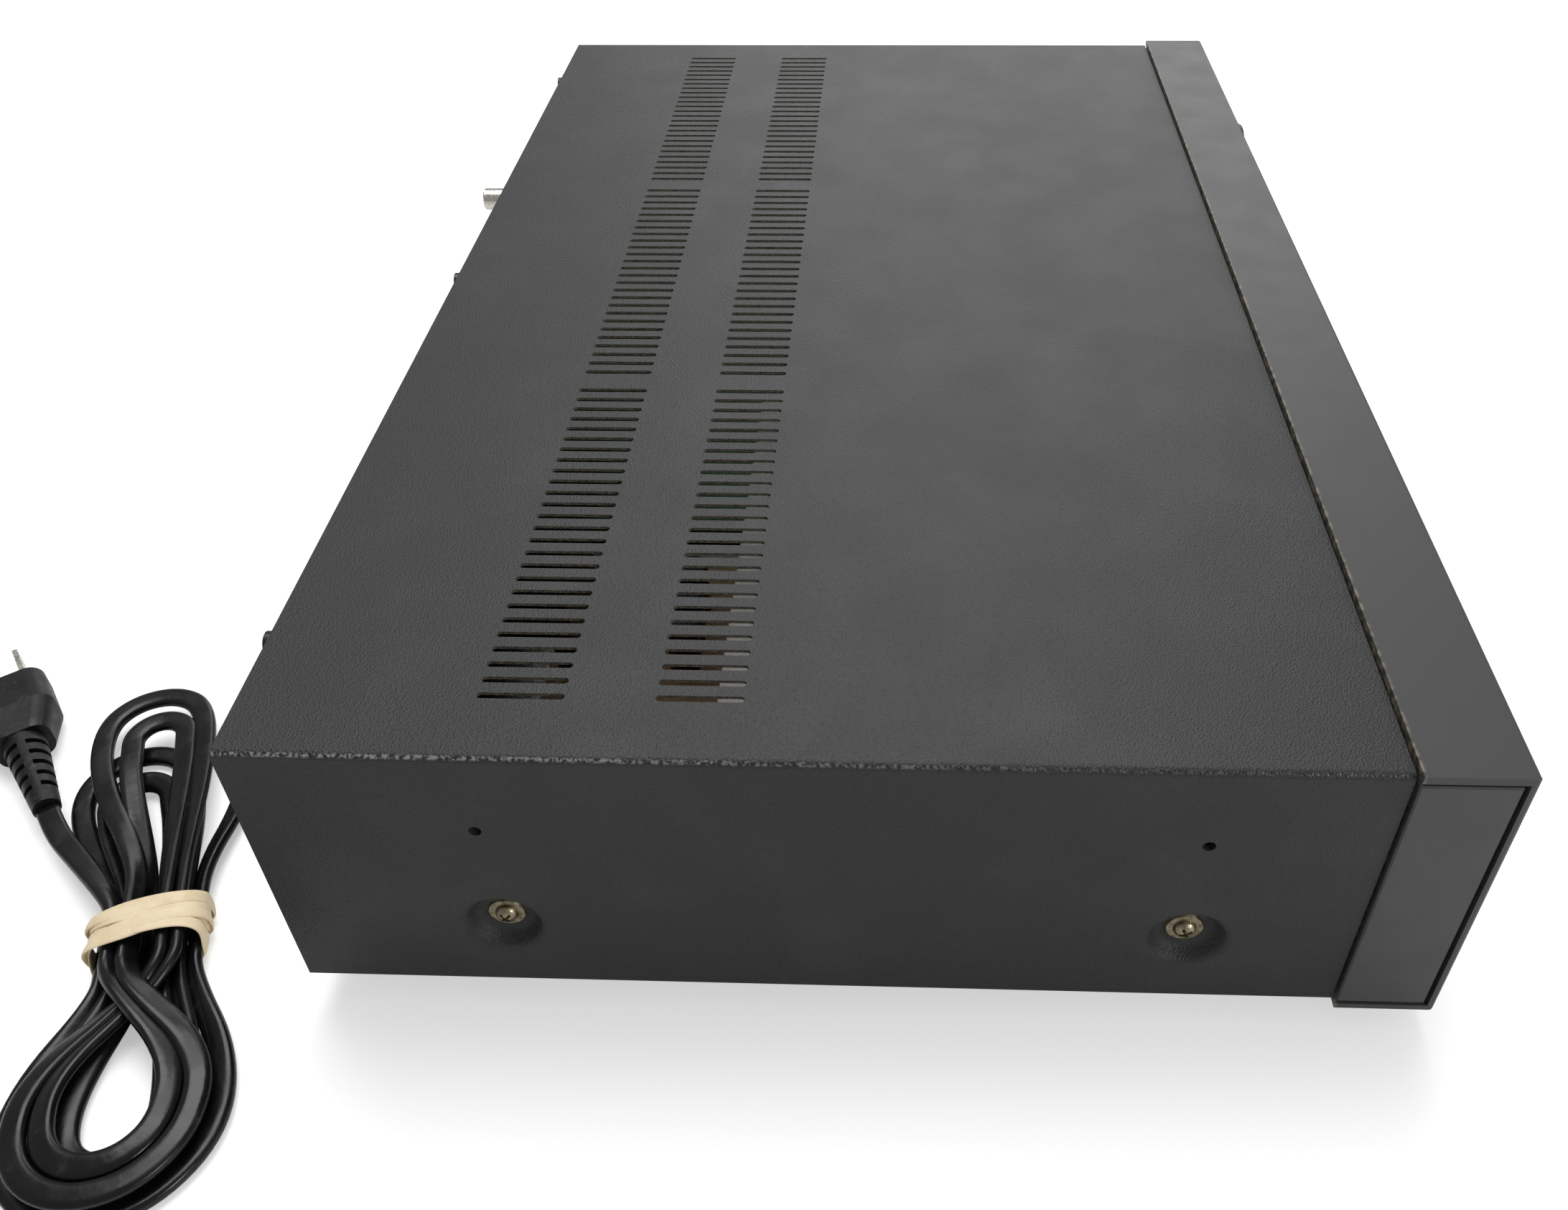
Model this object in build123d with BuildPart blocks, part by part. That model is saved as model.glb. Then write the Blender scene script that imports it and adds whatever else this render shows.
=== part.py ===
from build123d import *
import math
import os

os.makedirs("parts", exist_ok=True)

# Disc recorder, seen from the front: +X is right, the front faces -Y, +Z is up, z = 0 is the floor.
# All sizes are in millimetres.

# Case
width = 435.0
body_depth = 283.0
case_height = 83.0
foot_height = 11.0
cover_sheet = 0.8
chassis_sheet = 1.0
bend_radius = 1.8
knob_reach = 14.0
socket_reach = 13.5

# Front bezel against the cover
bezel_depth = 24.6
bezel_step = 1.2
bezel_rise = 1.2
bezel_drop = 2.5
bezel_wall = 2.5
bezel_side_wall = 5.0
seam = 0.8
cheek_depth = 2.0
cheek_groove = 1.0
cheek_strip_front = 2.0
cheek_strip_top = 2.2
cheek_strip_bottom = 1.8

# Vent slots of the cover: two rows, three blocks across
slot_pitch = 5.0
slots_per_block = 26
slot_length = 20.0
slot_width = 1.8
slot_row_from_rear = (64.0, 104.5)

# Pressed dishes and threaded holes of the cover's sides
side_hole_from_rear = (53.6, 218.2)
side_hole_below_top = 24.6
side_hole_radius = 1.5
side_hole_collar = 1.6
collar_wall = 0.9
dish_below_top = 60.0
dish_radius = 11.0
dish_seat_radius = 5.6
dish_depth = 4.0
lip_height = 6.6

# Fasteners and clearances
screw_radius = 1.5
screw_head_radius = 2.9
screw_head_height = 2.2
screw_length = 7.0
washer_radius = 4.75
washer_thickness = 0.6
screw_slack = 0.2
fit = 0.05
gap = 0.3
slide_gap = 0.1

# Front controls
control_proud = 1.5
button_travel = 1.0
button_flange = 1.5
flange_margin = 1.2
switch_height = 3.5
switch_size = 6.0
plunger_height = 0.8
plunger_radius = 1.75
board_thickness = 1.6
key_board_depth = 12.0
boss_radius = 3.0
level_knob_radius = 12.0
level_knob_x = 172.0
level_knob_z = 63.0
phones_knob_radius = 6.5
phones_knob_reach = 9.0
phones_knob_x = -126.0
knob_gap = 0.6
knob_shaft_radius = 3.0
pot_radius = 9.0
pot_depth = 6.5
low_row_z = 25.0
key_row_z = 37.0
phones_jack_x = -155.0
jack_bore_radius = 3.2
jack_bore_length = 19.5
jack_neck_radius = 5.0
jack_ring_radius = 7.0
jack_body = 14.0
window_x = 30.0
window_z = 70.0
window_width = 124.0
window_height = 28.0
window_thickness = 1.5
window_rim = 4.0

# Disc drive
drive_x = -126.0
drive_front = 5.0
drive_length = 172.0
drive_width = 146.0
drive_bottom = 38.0
drive_height = 42.0
drive_sheet = 0.8
frame_floor = 2.5
frame_wall = 6.9
tray_travel = 140.0
tray_length = 160.0
tray_thickness = 6.5
tray_bottom = 60.5
tray_tongue = 2.6
tongue_height = 2.0
tray_window_width = 43.0
disc_radius = 60.0
disc_recess = 3.0
tray_front_width = 137.0
tray_front_height = 18.0
tray_front_thickness = 5.0
tray_front_proud = 0.5
spindle_back = 80.0
hinge_back = 165.0
tilt_degrees = 3.6

# Loading gears
rack_module = 1.0
rack_pinion_teeth = 14
rack_line = -52.0
rack_width = 5.0
gear_module = 0.8
loading_wheel_teeth = 40
pulley_pinion_teeth = 12
pulley_radius = 11.0
motor_pulley_radius = 3.2
belt_thickness = 1.2
gear_back = 23.0
motor_offset = 33.0
gear_thickness = 3.0
post_radius = 1.5
motor_can_radius = 10.5
cam_stroke = 20.0
cam_back = 46.0
cam_thickness = 3.0
cam_pin_radius = 1.5

# Traverse with spindle, pickup and sled gears
traverse_half = 50.0
traverse_front = 58.0
traverse_z = 50.0
traverse_plate = 3.0
rod_radius = 1.5
rod_spacing = 38.0
rod_z = 55.5
pickup_half = 23.5
pickup_front = 14.5
pickup_length = 27.5
pickup_height = 6.2
pickup_travel = 35.0
lens_back = 24.0
lens_radius = 3.5
sled_module = 0.5
sled_pinion_teeth = 12
sled_wheel_teeth = 36
sled_motor_teeth = 10
sled_line = 25.5
sled_gear_back = 42.7
turntable_radius = 14.5
hub_radius = 7.4
hub_height = 3.0
clamper_radius = 13.5
clamper_flange = 17.0
spindle_can_radius = 13.0

# Circuit boards and rear sockets
board_z = 18.0
board_post_radius = 3.0
barrel_radius = 4.15
barrel_bore = 3.5
socket_collar_radius = 5.0
socket_collar = 1.5
socket_block_depth = 12.0
socket_pitch = 17.0
coax_x = 82.0
coax_below_top = 13.0
analogue_x = 122.0
analogue_z = 44.0
optical_x = 50.0
optical_size = 9.6

# Feet
foot_x = 165.0
foot_front_y = -95.0
foot_rear_y = 105.0
foot_radius = 20.0
foot_taper = 2.0
pad_outer = 17.0
pad_inner = 10.5
pad_height = 2.2
pad_seat = 1.0

# Mains cord
cord_diameter = 4.6
cord_spacing = 5.1
relief_x = -90.0
relief_z = 24.0
relief_length = 22.0
relief_radius = 5.5
relief_tip_radius = 3.6
relief_flange = 8.0
band_thickness = 0.8
band_width = 17.0
waist_x = -203.0
waist_from_rear = 50.0
waist_degrees = 18.0
plug_relief_length = 30.0
plug_relief_radius = 6.2
plug_relief_tip = 3.8
plug_length = 26.0
plug_width = 24.0
plug_thickness = 16.0
blade_length = 17.5
blade_width = 6.35
blade_thickness = 1.5
blade_spacing = 12.7

# Places worked out from the sizes above
rear_y = (body_depth + knob_reach + socket_reach) / 2 - socket_reach
front_y = rear_y - body_depth
bezel_back = front_y + bezel_depth
cover_front = bezel_back + seam
cover_depth = rear_y - cover_front
cover_top = foot_height + case_height
cover_under = cover_top - cover_sheet
cover_half = width / 2 - bezel_step
cover_inner = cover_half - cover_sheet
bezel_bottom = foot_height - bezel_drop
bezel_top = cover_top + bezel_rise
bezel_inner_face = front_y + bezel_wall
chassis_half = cover_half - dish_depth - cover_sheet
floor_top = foot_height + chassis_sheet
panel_back = rear_y - cover_sheet
panel_front = panel_back - chassis_sheet
dish_z = cover_top - dish_below_top
side_hole_z = cover_top - side_hole_below_top
dish_ys = [rear_y - d for d in (side_hole_from_rear[0] + 0.4, side_hole_from_rear[1] + 0.3)]
side_hole_ys = [rear_y - d for d in side_hole_from_rear]


def across(y):
    """Upright plane at this depth, facing the front."""
    return Plane.XZ.offset(-y)


def level(z):
    """Flat plane at this height, facing up."""
    return Plane.XY.offset(z)


def beside(x):
    """Upright plane at this place across, facing right."""
    return Plane.YZ.offset(x)


def block(x0, x1, y0, y1, z0, z1, mode=Mode.ADD):
    """Straight-sided block between two corners."""
    with BuildSketch(level(z0)) as base:
        with Locations(((x0 + x1) / 2, (y0 + y1) / 2)):
            Rectangle(x1 - x0, y1 - y0)
    extrude(base.sketch, amount=z1 - z0, mode=mode)


def post(plane, radius, height, mode=Mode.ADD):
    """Round post that stands on a plane."""
    with BuildSketch(plane) as base:
        Circle(radius)
    extrude(base.sketch, amount=height, mode=mode)


def pan_screw(seat, washer=0.0):
    """Cross-head screw whose head, on an optional washer, stands on the seat plane."""
    if washer:
        post(seat, washer, washer_thickness)
    head = seat.offset(washer_thickness if washer else 0)
    post(head, screw_head_radius, screw_head_height)
    with BuildSketch(head.offset(screw_head_height)) as recess:
        Rectangle(screw_head_radius * 1.2, screw_head_radius * 0.28)
        Rectangle(screw_head_radius * 0.28, screw_head_radius * 1.2)
    extrude(recess.sketch, amount=-screw_head_height * 0.5, mode=Mode.SUBTRACT)
    post(head, screw_radius, -screw_length)


def finish(part, name):
    """Name a finished piece and write it."""
    part.part.label = name
    export_step(part.part, f"parts/{name}.step")


# Top cover: a folded steel sheet, made as its right half and mirrored
with BuildPart() as top_cover:
    with BuildSketch(across(rear_y)) as cover_outside:
        with Locations((0, foot_height)):
            Rectangle(cover_half, case_height, align=(Align.MIN, Align.MIN))
        outer_corner = cover_outside.vertices().group_by(Axis.X)[-1].sort_by(Axis.Y)[-1]
        fillet(outer_corner, bend_radius)
    extrude(amount=cover_depth)
    with BuildSketch(across(rear_y)) as cover_inside:
        with Locations((0, foot_height)):
            Rectangle(cover_inner, case_height - cover_sheet, align=(Align.MIN, Align.MIN))
        inner_corner = cover_inside.vertices().group_by(Axis.X)[-1].sort_by(Axis.Y)[-1]
        fillet(inner_corner, bend_radius - cover_sheet)
    extrude(amount=cover_depth, mode=Mode.SUBTRACT)
    # Folds: a lip over the rear panel and a hem along the lower edge
    block(0, cover_inner, panel_back, rear_y, cover_under - lip_height, cover_under)
    hem_inner = chassis_half + gap
    block(hem_inner, cover_inner, cover_front, panel_front - 1, foot_height, foot_height + cover_sheet)
    # Vent slots
    half_block = slots_per_block // 2
    with BuildSketch(level(cover_top)):
        for from_rear in slot_row_from_rear:
            with Locations((half_block * slot_pitch / 2, rear_y - from_rear)):
                with GridLocations(slot_pitch, 1, half_block, 1):
                    SlotOverall(slot_length, slot_width, rotation=90)
            with Locations(((slots_per_block + 1) * slot_pitch, rear_y - from_rear)):
                with GridLocations(slot_pitch, 1, slots_per_block, 1):
                    SlotOverall(slot_length, slot_width, rotation=90)
    extrude(amount=-cover_sheet, mode=Mode.SUBTRACT)
    # Threaded holes drawn inward
    with BuildSketch(beside(cover_inner)):
        with Locations(*[(y, side_hole_z) for y in side_hole_ys]):
            Circle(side_hole_radius + collar_wall)
    extrude(amount=-side_hole_collar)
    with BuildSketch(beside(cover_half)):
        with Locations(*[(y, side_hole_z) for y in side_hole_ys]):
            Circle(side_hole_radius)
    extrude(amount=-cover_sheet - side_hole_collar, mode=Mode.SUBTRACT)
    # Round dishes with a flat seat for the side screws
    with BuildSketch(beside(cover_half)):
        with Locations(*[(y, dish_z) for y in dish_ys]):
            Circle(dish_radius)
    extrude(amount=-cover_sheet, mode=Mode.SUBTRACT)
    for y in dish_ys:
        dish_plane = Plane(origin=(cover_half, y, dish_z), x_dir=(0, 1, 0), z_dir=(0, 0, -1))
        dish_hole = screw_radius + screw_slack
        with BuildSketch(dish_plane):
            with BuildLine():
                Spline((dish_radius, 0), (dish_seat_radius, -dish_depth), tangents=[(-1, 0), (-1, 0)])
                Line((dish_seat_radius, -dish_depth), (dish_hole, -dish_depth))
                Line((dish_hole, -dish_depth), (dish_hole, -dish_depth - cover_sheet))
                Line((dish_hole, -dish_depth - cover_sheet), (dish_seat_radius, -dish_depth - cover_sheet))
                Spline(
                    (dish_seat_radius, -dish_depth - cover_sheet),
                    (dish_radius, -cover_sheet),
                    tangents=[(1, 0), (1, 0)],
                )
                Line((dish_radius, -cover_sheet), (dish_radius, 0))
            make_face()
        revolve(axis=Axis((cover_half, y, dish_z), (1, 0, 0)))
    # Screw holes of the rear lip
    lip_screw_z = cover_under - lip_height / 2
    lip_screw_x = cover_half * 0.82
    with BuildSketch(across(rear_y)):
        with Locations((lip_screw_x, lip_screw_z), (0, lip_screw_z)):
            Circle(screw_radius + screw_slack)
    extrude(amount=cover_sheet, mode=Mode.SUBTRACT)
    mirror(about=Plane.YZ)
finish(top_cover, "top_cover")

# Bottom chassis: floor, side walls for the cover's screws, front flange and stand-offs
wall_top = dish_z + dish_seat_radius + 5
flange_top = foot_height + 18
flange_screw_z = foot_height + 11
flange_screw_xs = [-205, -105, 105, 205]
post_rows = [front_y + 40, front_y + 160]
main_board_box = (-45, 205, cover_front + 14, panel_front - 8)
power_board_box = (-205, -60, front_y + drive_front + drive_length + 8, panel_front - 8)
with BuildPart() as bottom_chassis:
    block(-chassis_half, chassis_half, bezel_back, panel_front, foot_height, floor_top)
    for s in (-1, 1):
        wall_edges = sorted((s * chassis_half, s * (chassis_half - chassis_sheet)))
        block(*wall_edges, bezel_back, panel_front, floor_top, wall_top)
    block(-chassis_half, chassis_half, bezel_back, bezel_back + chassis_sheet, floor_top, flange_top)
    with BuildSketch(across(bezel_back)):
        with Locations(*[(x, flange_screw_z) for x in flange_screw_xs]):
            Circle(screw_radius + screw_slack)
    extrude(amount=-chassis_sheet, mode=Mode.SUBTRACT)
    with BuildSketch(beside(chassis_half)):
        with Locations(*[(y, dish_z) for y in dish_ys]):
            Circle(screw_radius + fit)
    extrude(amount=-chassis_half * 2, mode=Mode.SUBTRACT)
    # Floor vents under the power board and foot screw holes
    with BuildSketch(level(foot_height)):
        with Locations(((power_board_box[0] + power_board_box[1]) / 2, foot_rear_y - 38)):
            with GridLocations(slot_pitch * 2, 1, 8, 1):
                SlotOverall(slot_length, slot_width * 1.5, rotation=90)
        with Locations(*[(x, y) for x in (-foot_x, foot_x) for y in (foot_front_y, foot_rear_y)]):
            Circle(screw_radius + fit)
    extrude(amount=chassis_sheet, mode=Mode.SUBTRACT)
    # Posts that carry the disc drive and the two boards
    with BuildSketch(level(floor_top)):
        with Locations(*[(drive_x + s * 60, y) for s in (-1, 1) for y in post_rows]):
            Circle(boss_radius + 2)
    extrude(amount=drive_bottom - floor_top)
    with BuildSketch(level(floor_top)):
        for x0, x1, y0, y1 in (main_board_box, power_board_box):
            with Locations(((x0 + x1) / 2, (y0 + y1) / 2)):
                with GridLocations(x1 - x0 - 12, y1 - y0 - 12, 2, 2):
                    Circle(board_post_radius)
    extrude(amount=board_z - floor_top)
finish(bottom_chassis, "bottom_chassis")

# Rear panel with openings for the sockets and the cord's strain relief
barrel_places = [
    (coax_x, cover_top - coax_below_top),
    (coax_x, cover_top - coax_below_top - socket_pitch),
]
for column in (0, 1):
    for row in (0, 1):
        barrel_places.append((analogue_x + column * socket_pitch, analogue_z - row * socket_pitch))
optical_places = [(optical_x, cover_top - coax_below_top - socket_pitch * n) for n in (1, 2)]
panel_half = cover_inner - gap
panel_bottom = foot_height
panel_top = cover_under - gap
panel_screws = [(coax_x, cover_top - coax_below_top - socket_pitch * 1.55)]
panel_screws.append((analogue_x + socket_pitch / 2, analogue_z - socket_pitch / 2))
panel_screws += [(-chassis_half + 14, foot_height + 9), (chassis_half - 14, foot_height + 9)]
lip_screws = [(-lip_screw_x, lip_screw_z), (0, lip_screw_z), (lip_screw_x, lip_screw_z)]
with BuildPart() as rear_panel:
    block(-panel_half, panel_half, panel_front, panel_back, panel_bottom, panel_top)
    with BuildSketch(across(panel_back)):
        with Locations(*barrel_places):
            Circle(socket_collar_radius + slide_gap)
        with Locations(*optical_places):
            Rectangle(optical_size + slide_gap * 2, optical_size + slide_gap * 2)
        with Locations(*panel_screws, *lip_screws):
            Circle(screw_radius + fit)
        with Locations((relief_x, relief_z)):
            Circle(relief_radius + slide_gap)
    extrude(amount=chassis_sheet, mode=Mode.SUBTRACT)
finish(rear_panel, "rear_panel")

# Button places: name, centre across, centre height, width, height; a round one has no height
buttons = [
    ("power_button", -182.0, low_row_z, 15.0, 0.0),
    ("open_button", -80.0, low_row_z, 22.0, 8.0),
    ("play_pause_button", -20.0, key_row_z, 26.0, 10.0),
    ("stop_button", 12.0, key_row_z, 26.0, 10.0),
    ("back_button", 44.0, key_row_z, 26.0, 10.0),
    ("forward_button", 76.0, key_row_z, 26.0, 10.0),
    ("record_button", 112.0, key_row_z, 15.0, 0.0),
    ("finalize_button", 138.0, key_row_z, 9.0, 0.0),
]


def button_shape(width_across, height_up, margin):
    """Outline of one button, grown by a margin."""
    if height_up:
        corner = 1.5 + max(margin, 0)
        RectangleRounded(width_across + 2 * margin, height_up + 2 * margin, corner)
    else:
        Circle(width_across / 2 + margin)


# Front bezel: one deep plastic moulding, open at the back
bezel_mid_z = (bezel_bottom + bezel_top) / 2
bezel_height = bezel_top - bezel_bottom
tray_mid_z = tray_bottom + tray_thickness - 2.5
board_face = front_y + key_board_depth
key_boards = [
    (-45.0, 205.0, flange_top + 1, bezel_top - bezel_wall - 4),
    (-200.0, -56.0, bezel_bottom + bezel_wall + 3, drive_bottom - 2),
]
board_inset = 5.0
with BuildPart() as front_bezel:
    with BuildSketch(across(bezel_back)):
        with Locations((0, bezel_mid_z)):
            Rectangle(width, bezel_height)
    extrude(amount=bezel_depth)
    front_edges = front_bezel.faces().sort_by(Axis.Y)[0].edges()
    fillet(front_edges, 1.2)
    with BuildSketch(across(bezel_back)):
        with Locations((0, bezel_mid_z)):
            Rectangle(width - 2 * bezel_side_wall, bezel_height - 2 * bezel_wall)
    extrude(amount=bezel_depth - bezel_wall, mode=Mode.SUBTRACT)
    # Pockets for the side cheeks
    pocket_low = bezel_bottom + cheek_strip_bottom
    pocket_high = bezel_top - cheek_strip_top
    pocket_front = front_y + cheek_strip_front
    for s in (-1, 1):
        cheek_edges = sorted((s * width / 2, s * (width / 2 - cheek_depth)))
        block(*cheek_edges, pocket_front, bezel_back, pocket_low, pocket_high, mode=Mode.SUBTRACT)
    # Openings for the tray, the window and the controls
    with BuildSketch(across(bezel_inner_face)):
        with Locations((drive_x, tray_mid_z)):
            RectangleRounded(tray_front_width + 2 * gap, tray_front_height + 2 * gap, 1.5)
        with Locations((window_x, window_z)):
            RectangleRounded(window_width - 2 * window_rim, window_height - 2 * window_rim, 1.0)
        for name, x, z, w, h in buttons:
            with Locations((x, z)):
                button_shape(w, h, gap)
        with Locations((level_knob_x, level_knob_z), (phones_knob_x, low_row_z)):
            Circle(knob_shaft_radius + gap)
        with Locations((phones_jack_x, low_row_z)):
            Circle(jack_neck_radius + slide_gap)
    extrude(amount=bezel_wall, mode=Mode.SUBTRACT)
    with BuildSketch(across(front_y + window_thickness)):
        with Locations((window_x, window_z)):
            RectangleRounded(window_width, window_height, 2.0)
    extrude(amount=window_thickness, mode=Mode.SUBTRACT)
    # Bosses behind the face for the key boards and the chassis flange
    with BuildSketch(across(board_face)):
        for x0, x1, z0, z1 in key_boards:
            for x in (x0 + board_inset, x1 - board_inset):
                with Locations((x, z0 + board_inset), (x, z1 - board_inset)):
                    Circle(boss_radius)
    extrude(amount=key_board_depth - bezel_wall)
    with BuildSketch(across(bezel_back)):
        with Locations(*[(x, flange_screw_z) for x in flange_screw_xs]):
            Circle(boss_radius + 1)
    extrude(amount=bezel_depth - bezel_wall)
    with BuildSketch(across(bezel_back)):
        with Locations(*[(x, flange_screw_z) for x in flange_screw_xs]):
            Circle(screw_radius + fit)
    extrude(amount=screw_length, mode=Mode.SUBTRACT)
finish(front_bezel, "front_bezel")

# Side cheeks: thin inset plates on both ends of the bezel
for cheek_name, s in (("left_cheek", -1), ("right_cheek", 1)):
    with BuildPart() as cheek:
        cheek_edges = sorted((s * width / 2, s * (width / 2 - cheek_depth)))
        cheek_front = pocket_front + cheek_groove
        block(*cheek_edges, cheek_front, bezel_back, pocket_low + cheek_groove, pocket_high - cheek_groove)
        outer_face = cheek.faces().sort_by(Axis.X)[0 if s < 0 else -1]
        chamfer(outer_face.edges(), 0.4)
    finish(cheek, cheek_name)

# Display window and the display module behind it
with BuildPart() as display_window:
    with BuildSketch(across(front_y + window_thickness)):
        with Locations((window_x, window_z)):
            RectangleRounded(window_width - 2 * slide_gap, window_height - 2 * slide_gap, 1.9)
    extrude(amount=window_thickness)
finish(display_window, "display_window")

with BuildPart() as display_module:
    with BuildSketch(across(board_face)):
        with Locations((window_x, window_z)):
            Rectangle(window_width - window_rim, window_height - 2)
    extrude(amount=3.0)
    with BuildSketch(across(board_face - 3.0)):
        with Locations((window_x, window_z)):
            RectangleRounded(window_width - 3 * window_rim, window_height - 3 * window_rim, 1.0)
    extrude(amount=key_board_depth - bezel_wall - 4.0)
finish(display_module, "display_module")

# Push buttons: cap, retaining flange and stem, each on its own slide
for name, x, z, w, h in buttons:
    with BuildPart() as push_button:
        with BuildSketch(across(bezel_inner_face + slide_gap)):
            with Locations((x, z)):
                button_shape(w, h, 0)
        extrude(amount=bezel_wall + slide_gap + control_proud)
        cap_face = push_button.faces().sort_by(Axis.Y)[0]
        fillet(cap_face.edges(), 0.6)
        with BuildSketch(across(bezel_inner_face + slide_gap + button_flange)):
            with Locations((x, z)):
                button_shape(w, h, flange_margin)
        extrude(amount=button_flange)
        stem_back = board_face - switch_height - plunger_height - button_travel - slide_gap
        stem_front = bezel_inner_face + slide_gap + button_flange
        post(across(stem_back).shift_origin((x, stem_back, z)), plunger_radius, stem_back - stem_front)
    finish(push_button, name)

# Key boards with their switches and the two level potentiometers
knob_places = [(level_knob_x, level_knob_z), (phones_knob_x, low_row_z)]
with BuildPart() as key_board:
    with BuildSketch(across(board_face)):
        for x0, x1, z0, z1 in key_boards:
            with Locations(((x0 + x1) / 2, (z0 + z1) / 2)):
                Rectangle(x1 - x0, z1 - z0)
    extrude(amount=-board_thickness)
    with BuildSketch(across(board_face)):
        with Locations(*[(x, z) for name, x, z, w, h in buttons]):
            Rectangle(switch_size, switch_size)
    extrude(amount=switch_height)
    with BuildSketch(across(board_face - switch_height)):
        with Locations(*[(x, z) for name, x, z, w, h in buttons]):
            Circle(plunger_radius)
    extrude(amount=plunger_height)
    with BuildSketch(across(board_face)):
        with Locations(*knob_places):
            Circle(pot_radius)
    extrude(amount=pot_depth)
    with BuildSketch(across(board_face - pot_depth)):
        with Locations(*knob_places):
            Circle(knob_shaft_radius + fit)
    extrude(amount=-pot_depth + 1, mode=Mode.SUBTRACT)
    with BuildSketch(across(board_face + board_thickness)):
        with Locations((phones_jack_x, low_row_z)):
            Rectangle(jack_body + 2 * gap, jack_body + 2 * gap)
        with Locations(*[(x, flange_screw_z) for x in flange_screw_xs]):
            Circle(boss_radius + 1 + gap)
    extrude(amount=board_thickness + pot_depth, mode=Mode.SUBTRACT)
finish(key_board, "key_board")

# Level knobs: turned caps with a ribbed skirt and a shaft into their potentiometer
knobs = [
    ("record_level_knob", level_knob_x, level_knob_z, level_knob_radius, knob_reach, 24),
    ("phones_level_knob", phones_knob_x, low_row_z, phones_knob_radius, phones_knob_reach, 18),
]
for knob_name, x, z, radius, reach, ribs in knobs:
    with BuildPart() as knob:
        tip = across(front_y - reach).shift_origin((x, front_y - reach, z))
        post(tip, radius - 0.5, -(reach - knob_gap))
        rim = knob.edges().filter_by(GeomType.CIRCLE).sort_by(Axis.Y)[0]
        fillet(rim, 1.2)
        with BuildSketch(across(front_y - knob_gap).shift_origin((x, front_y - knob_gap, z))):
            with PolarLocations(radius - 0.6, ribs):
                Circle(0.6)
        extrude(amount=reach - knob_gap - 2.5)
        # Pointer groove in the end face
        with BuildSketch(tip):
            with Locations((0, radius * 0.6)):
                Rectangle(1.0, radius * 0.6)
        extrude(amount=-0.6, mode=Mode.SUBTRACT)
        shaft_end = board_face - 1.5
        shaft_plane = across(shaft_end).shift_origin((x, shaft_end, z))
        post(shaft_plane, knob_shaft_radius, shaft_end - (front_y - knob_gap))
    finish(knob, knob_name)

# Headphone jack: body behind the face, threaded neck and ring nut, blind bore
with BuildPart() as phones_jack:
    jack_axis = (phones_jack_x, low_row_z)
    with BuildSketch(across(bezel_inner_face + jack_bore_length)):
        with Locations(jack_axis):
            Rectangle(jack_body, jack_body)
    extrude(amount=jack_bore_length)
    with BuildSketch(across(bezel_inner_face)):
        with Locations(jack_axis):
            Circle(jack_neck_radius)
    extrude(amount=bezel_wall)
    with BuildSketch(across(front_y)):
        with Locations(jack_axis):
            Circle(jack_ring_radius)
    extrude(amount=control_proud)
    jack_lip = phones_jack.edges().filter_by(GeomType.CIRCLE).sort_by(Axis.Y)[0]
    chamfer(jack_lip, 0.4)
    with BuildSketch(across(front_y - control_proud)):
        with Locations(jack_axis):
            Circle(jack_bore_radius)
    extrude(amount=-jack_bore_length, mode=Mode.SUBTRACT)
finish(phones_jack, "phones_jack")


def spur_teeth(plane, module, teeth, thickness, phase):
    """Spur wheel with straight-flanked teeth; the first tooth points at the phase angle."""
    pitch_radius = module * teeth / 2
    root = pitch_radius - 1.2 * module
    tip = pitch_radius + 0.9 * module
    with BuildSketch(plane) as wheel:
        Circle(root)
        with PolarLocations(0, teeth, start_angle=phase):
            Polygon(
                (root - 0.3 * module, -0.85 * module),
                (pitch_radius, -0.62 * module),
                (tip, -0.28 * module),
                (tip, 0.28 * module),
                (pitch_radius, 0.62 * module),
                (root - 0.3 * module, 0.85 * module),
                align=None,
            )
    extrude(wheel.sketch, amount=thickness)


def rack_teeth(plane, module, length, line_x, first_y, thickness):
    """Straight rack whose teeth point to +X from a line; the first tooth sits at first_y."""
    count = int(length / (math.pi * module))
    with BuildSketch(plane) as teeth:
        for n in range(count):
            y = first_y + n * math.pi * module
            with BuildLine():
                Polyline(
                    (line_x - 1.3 * module, y - 0.95 * module),
                    (line_x, y - 0.62 * module),
                    (line_x + 0.9 * module, y - 0.28 * module),
                    (line_x + 0.9 * module, y + 0.28 * module),
                    (line_x, y + 0.62 * module),
                    (line_x - 1.3 * module, y + 0.95 * module),
                    close=True,
                )
            make_face()
    extrude(teeth.sketch, amount=thickness)


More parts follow.
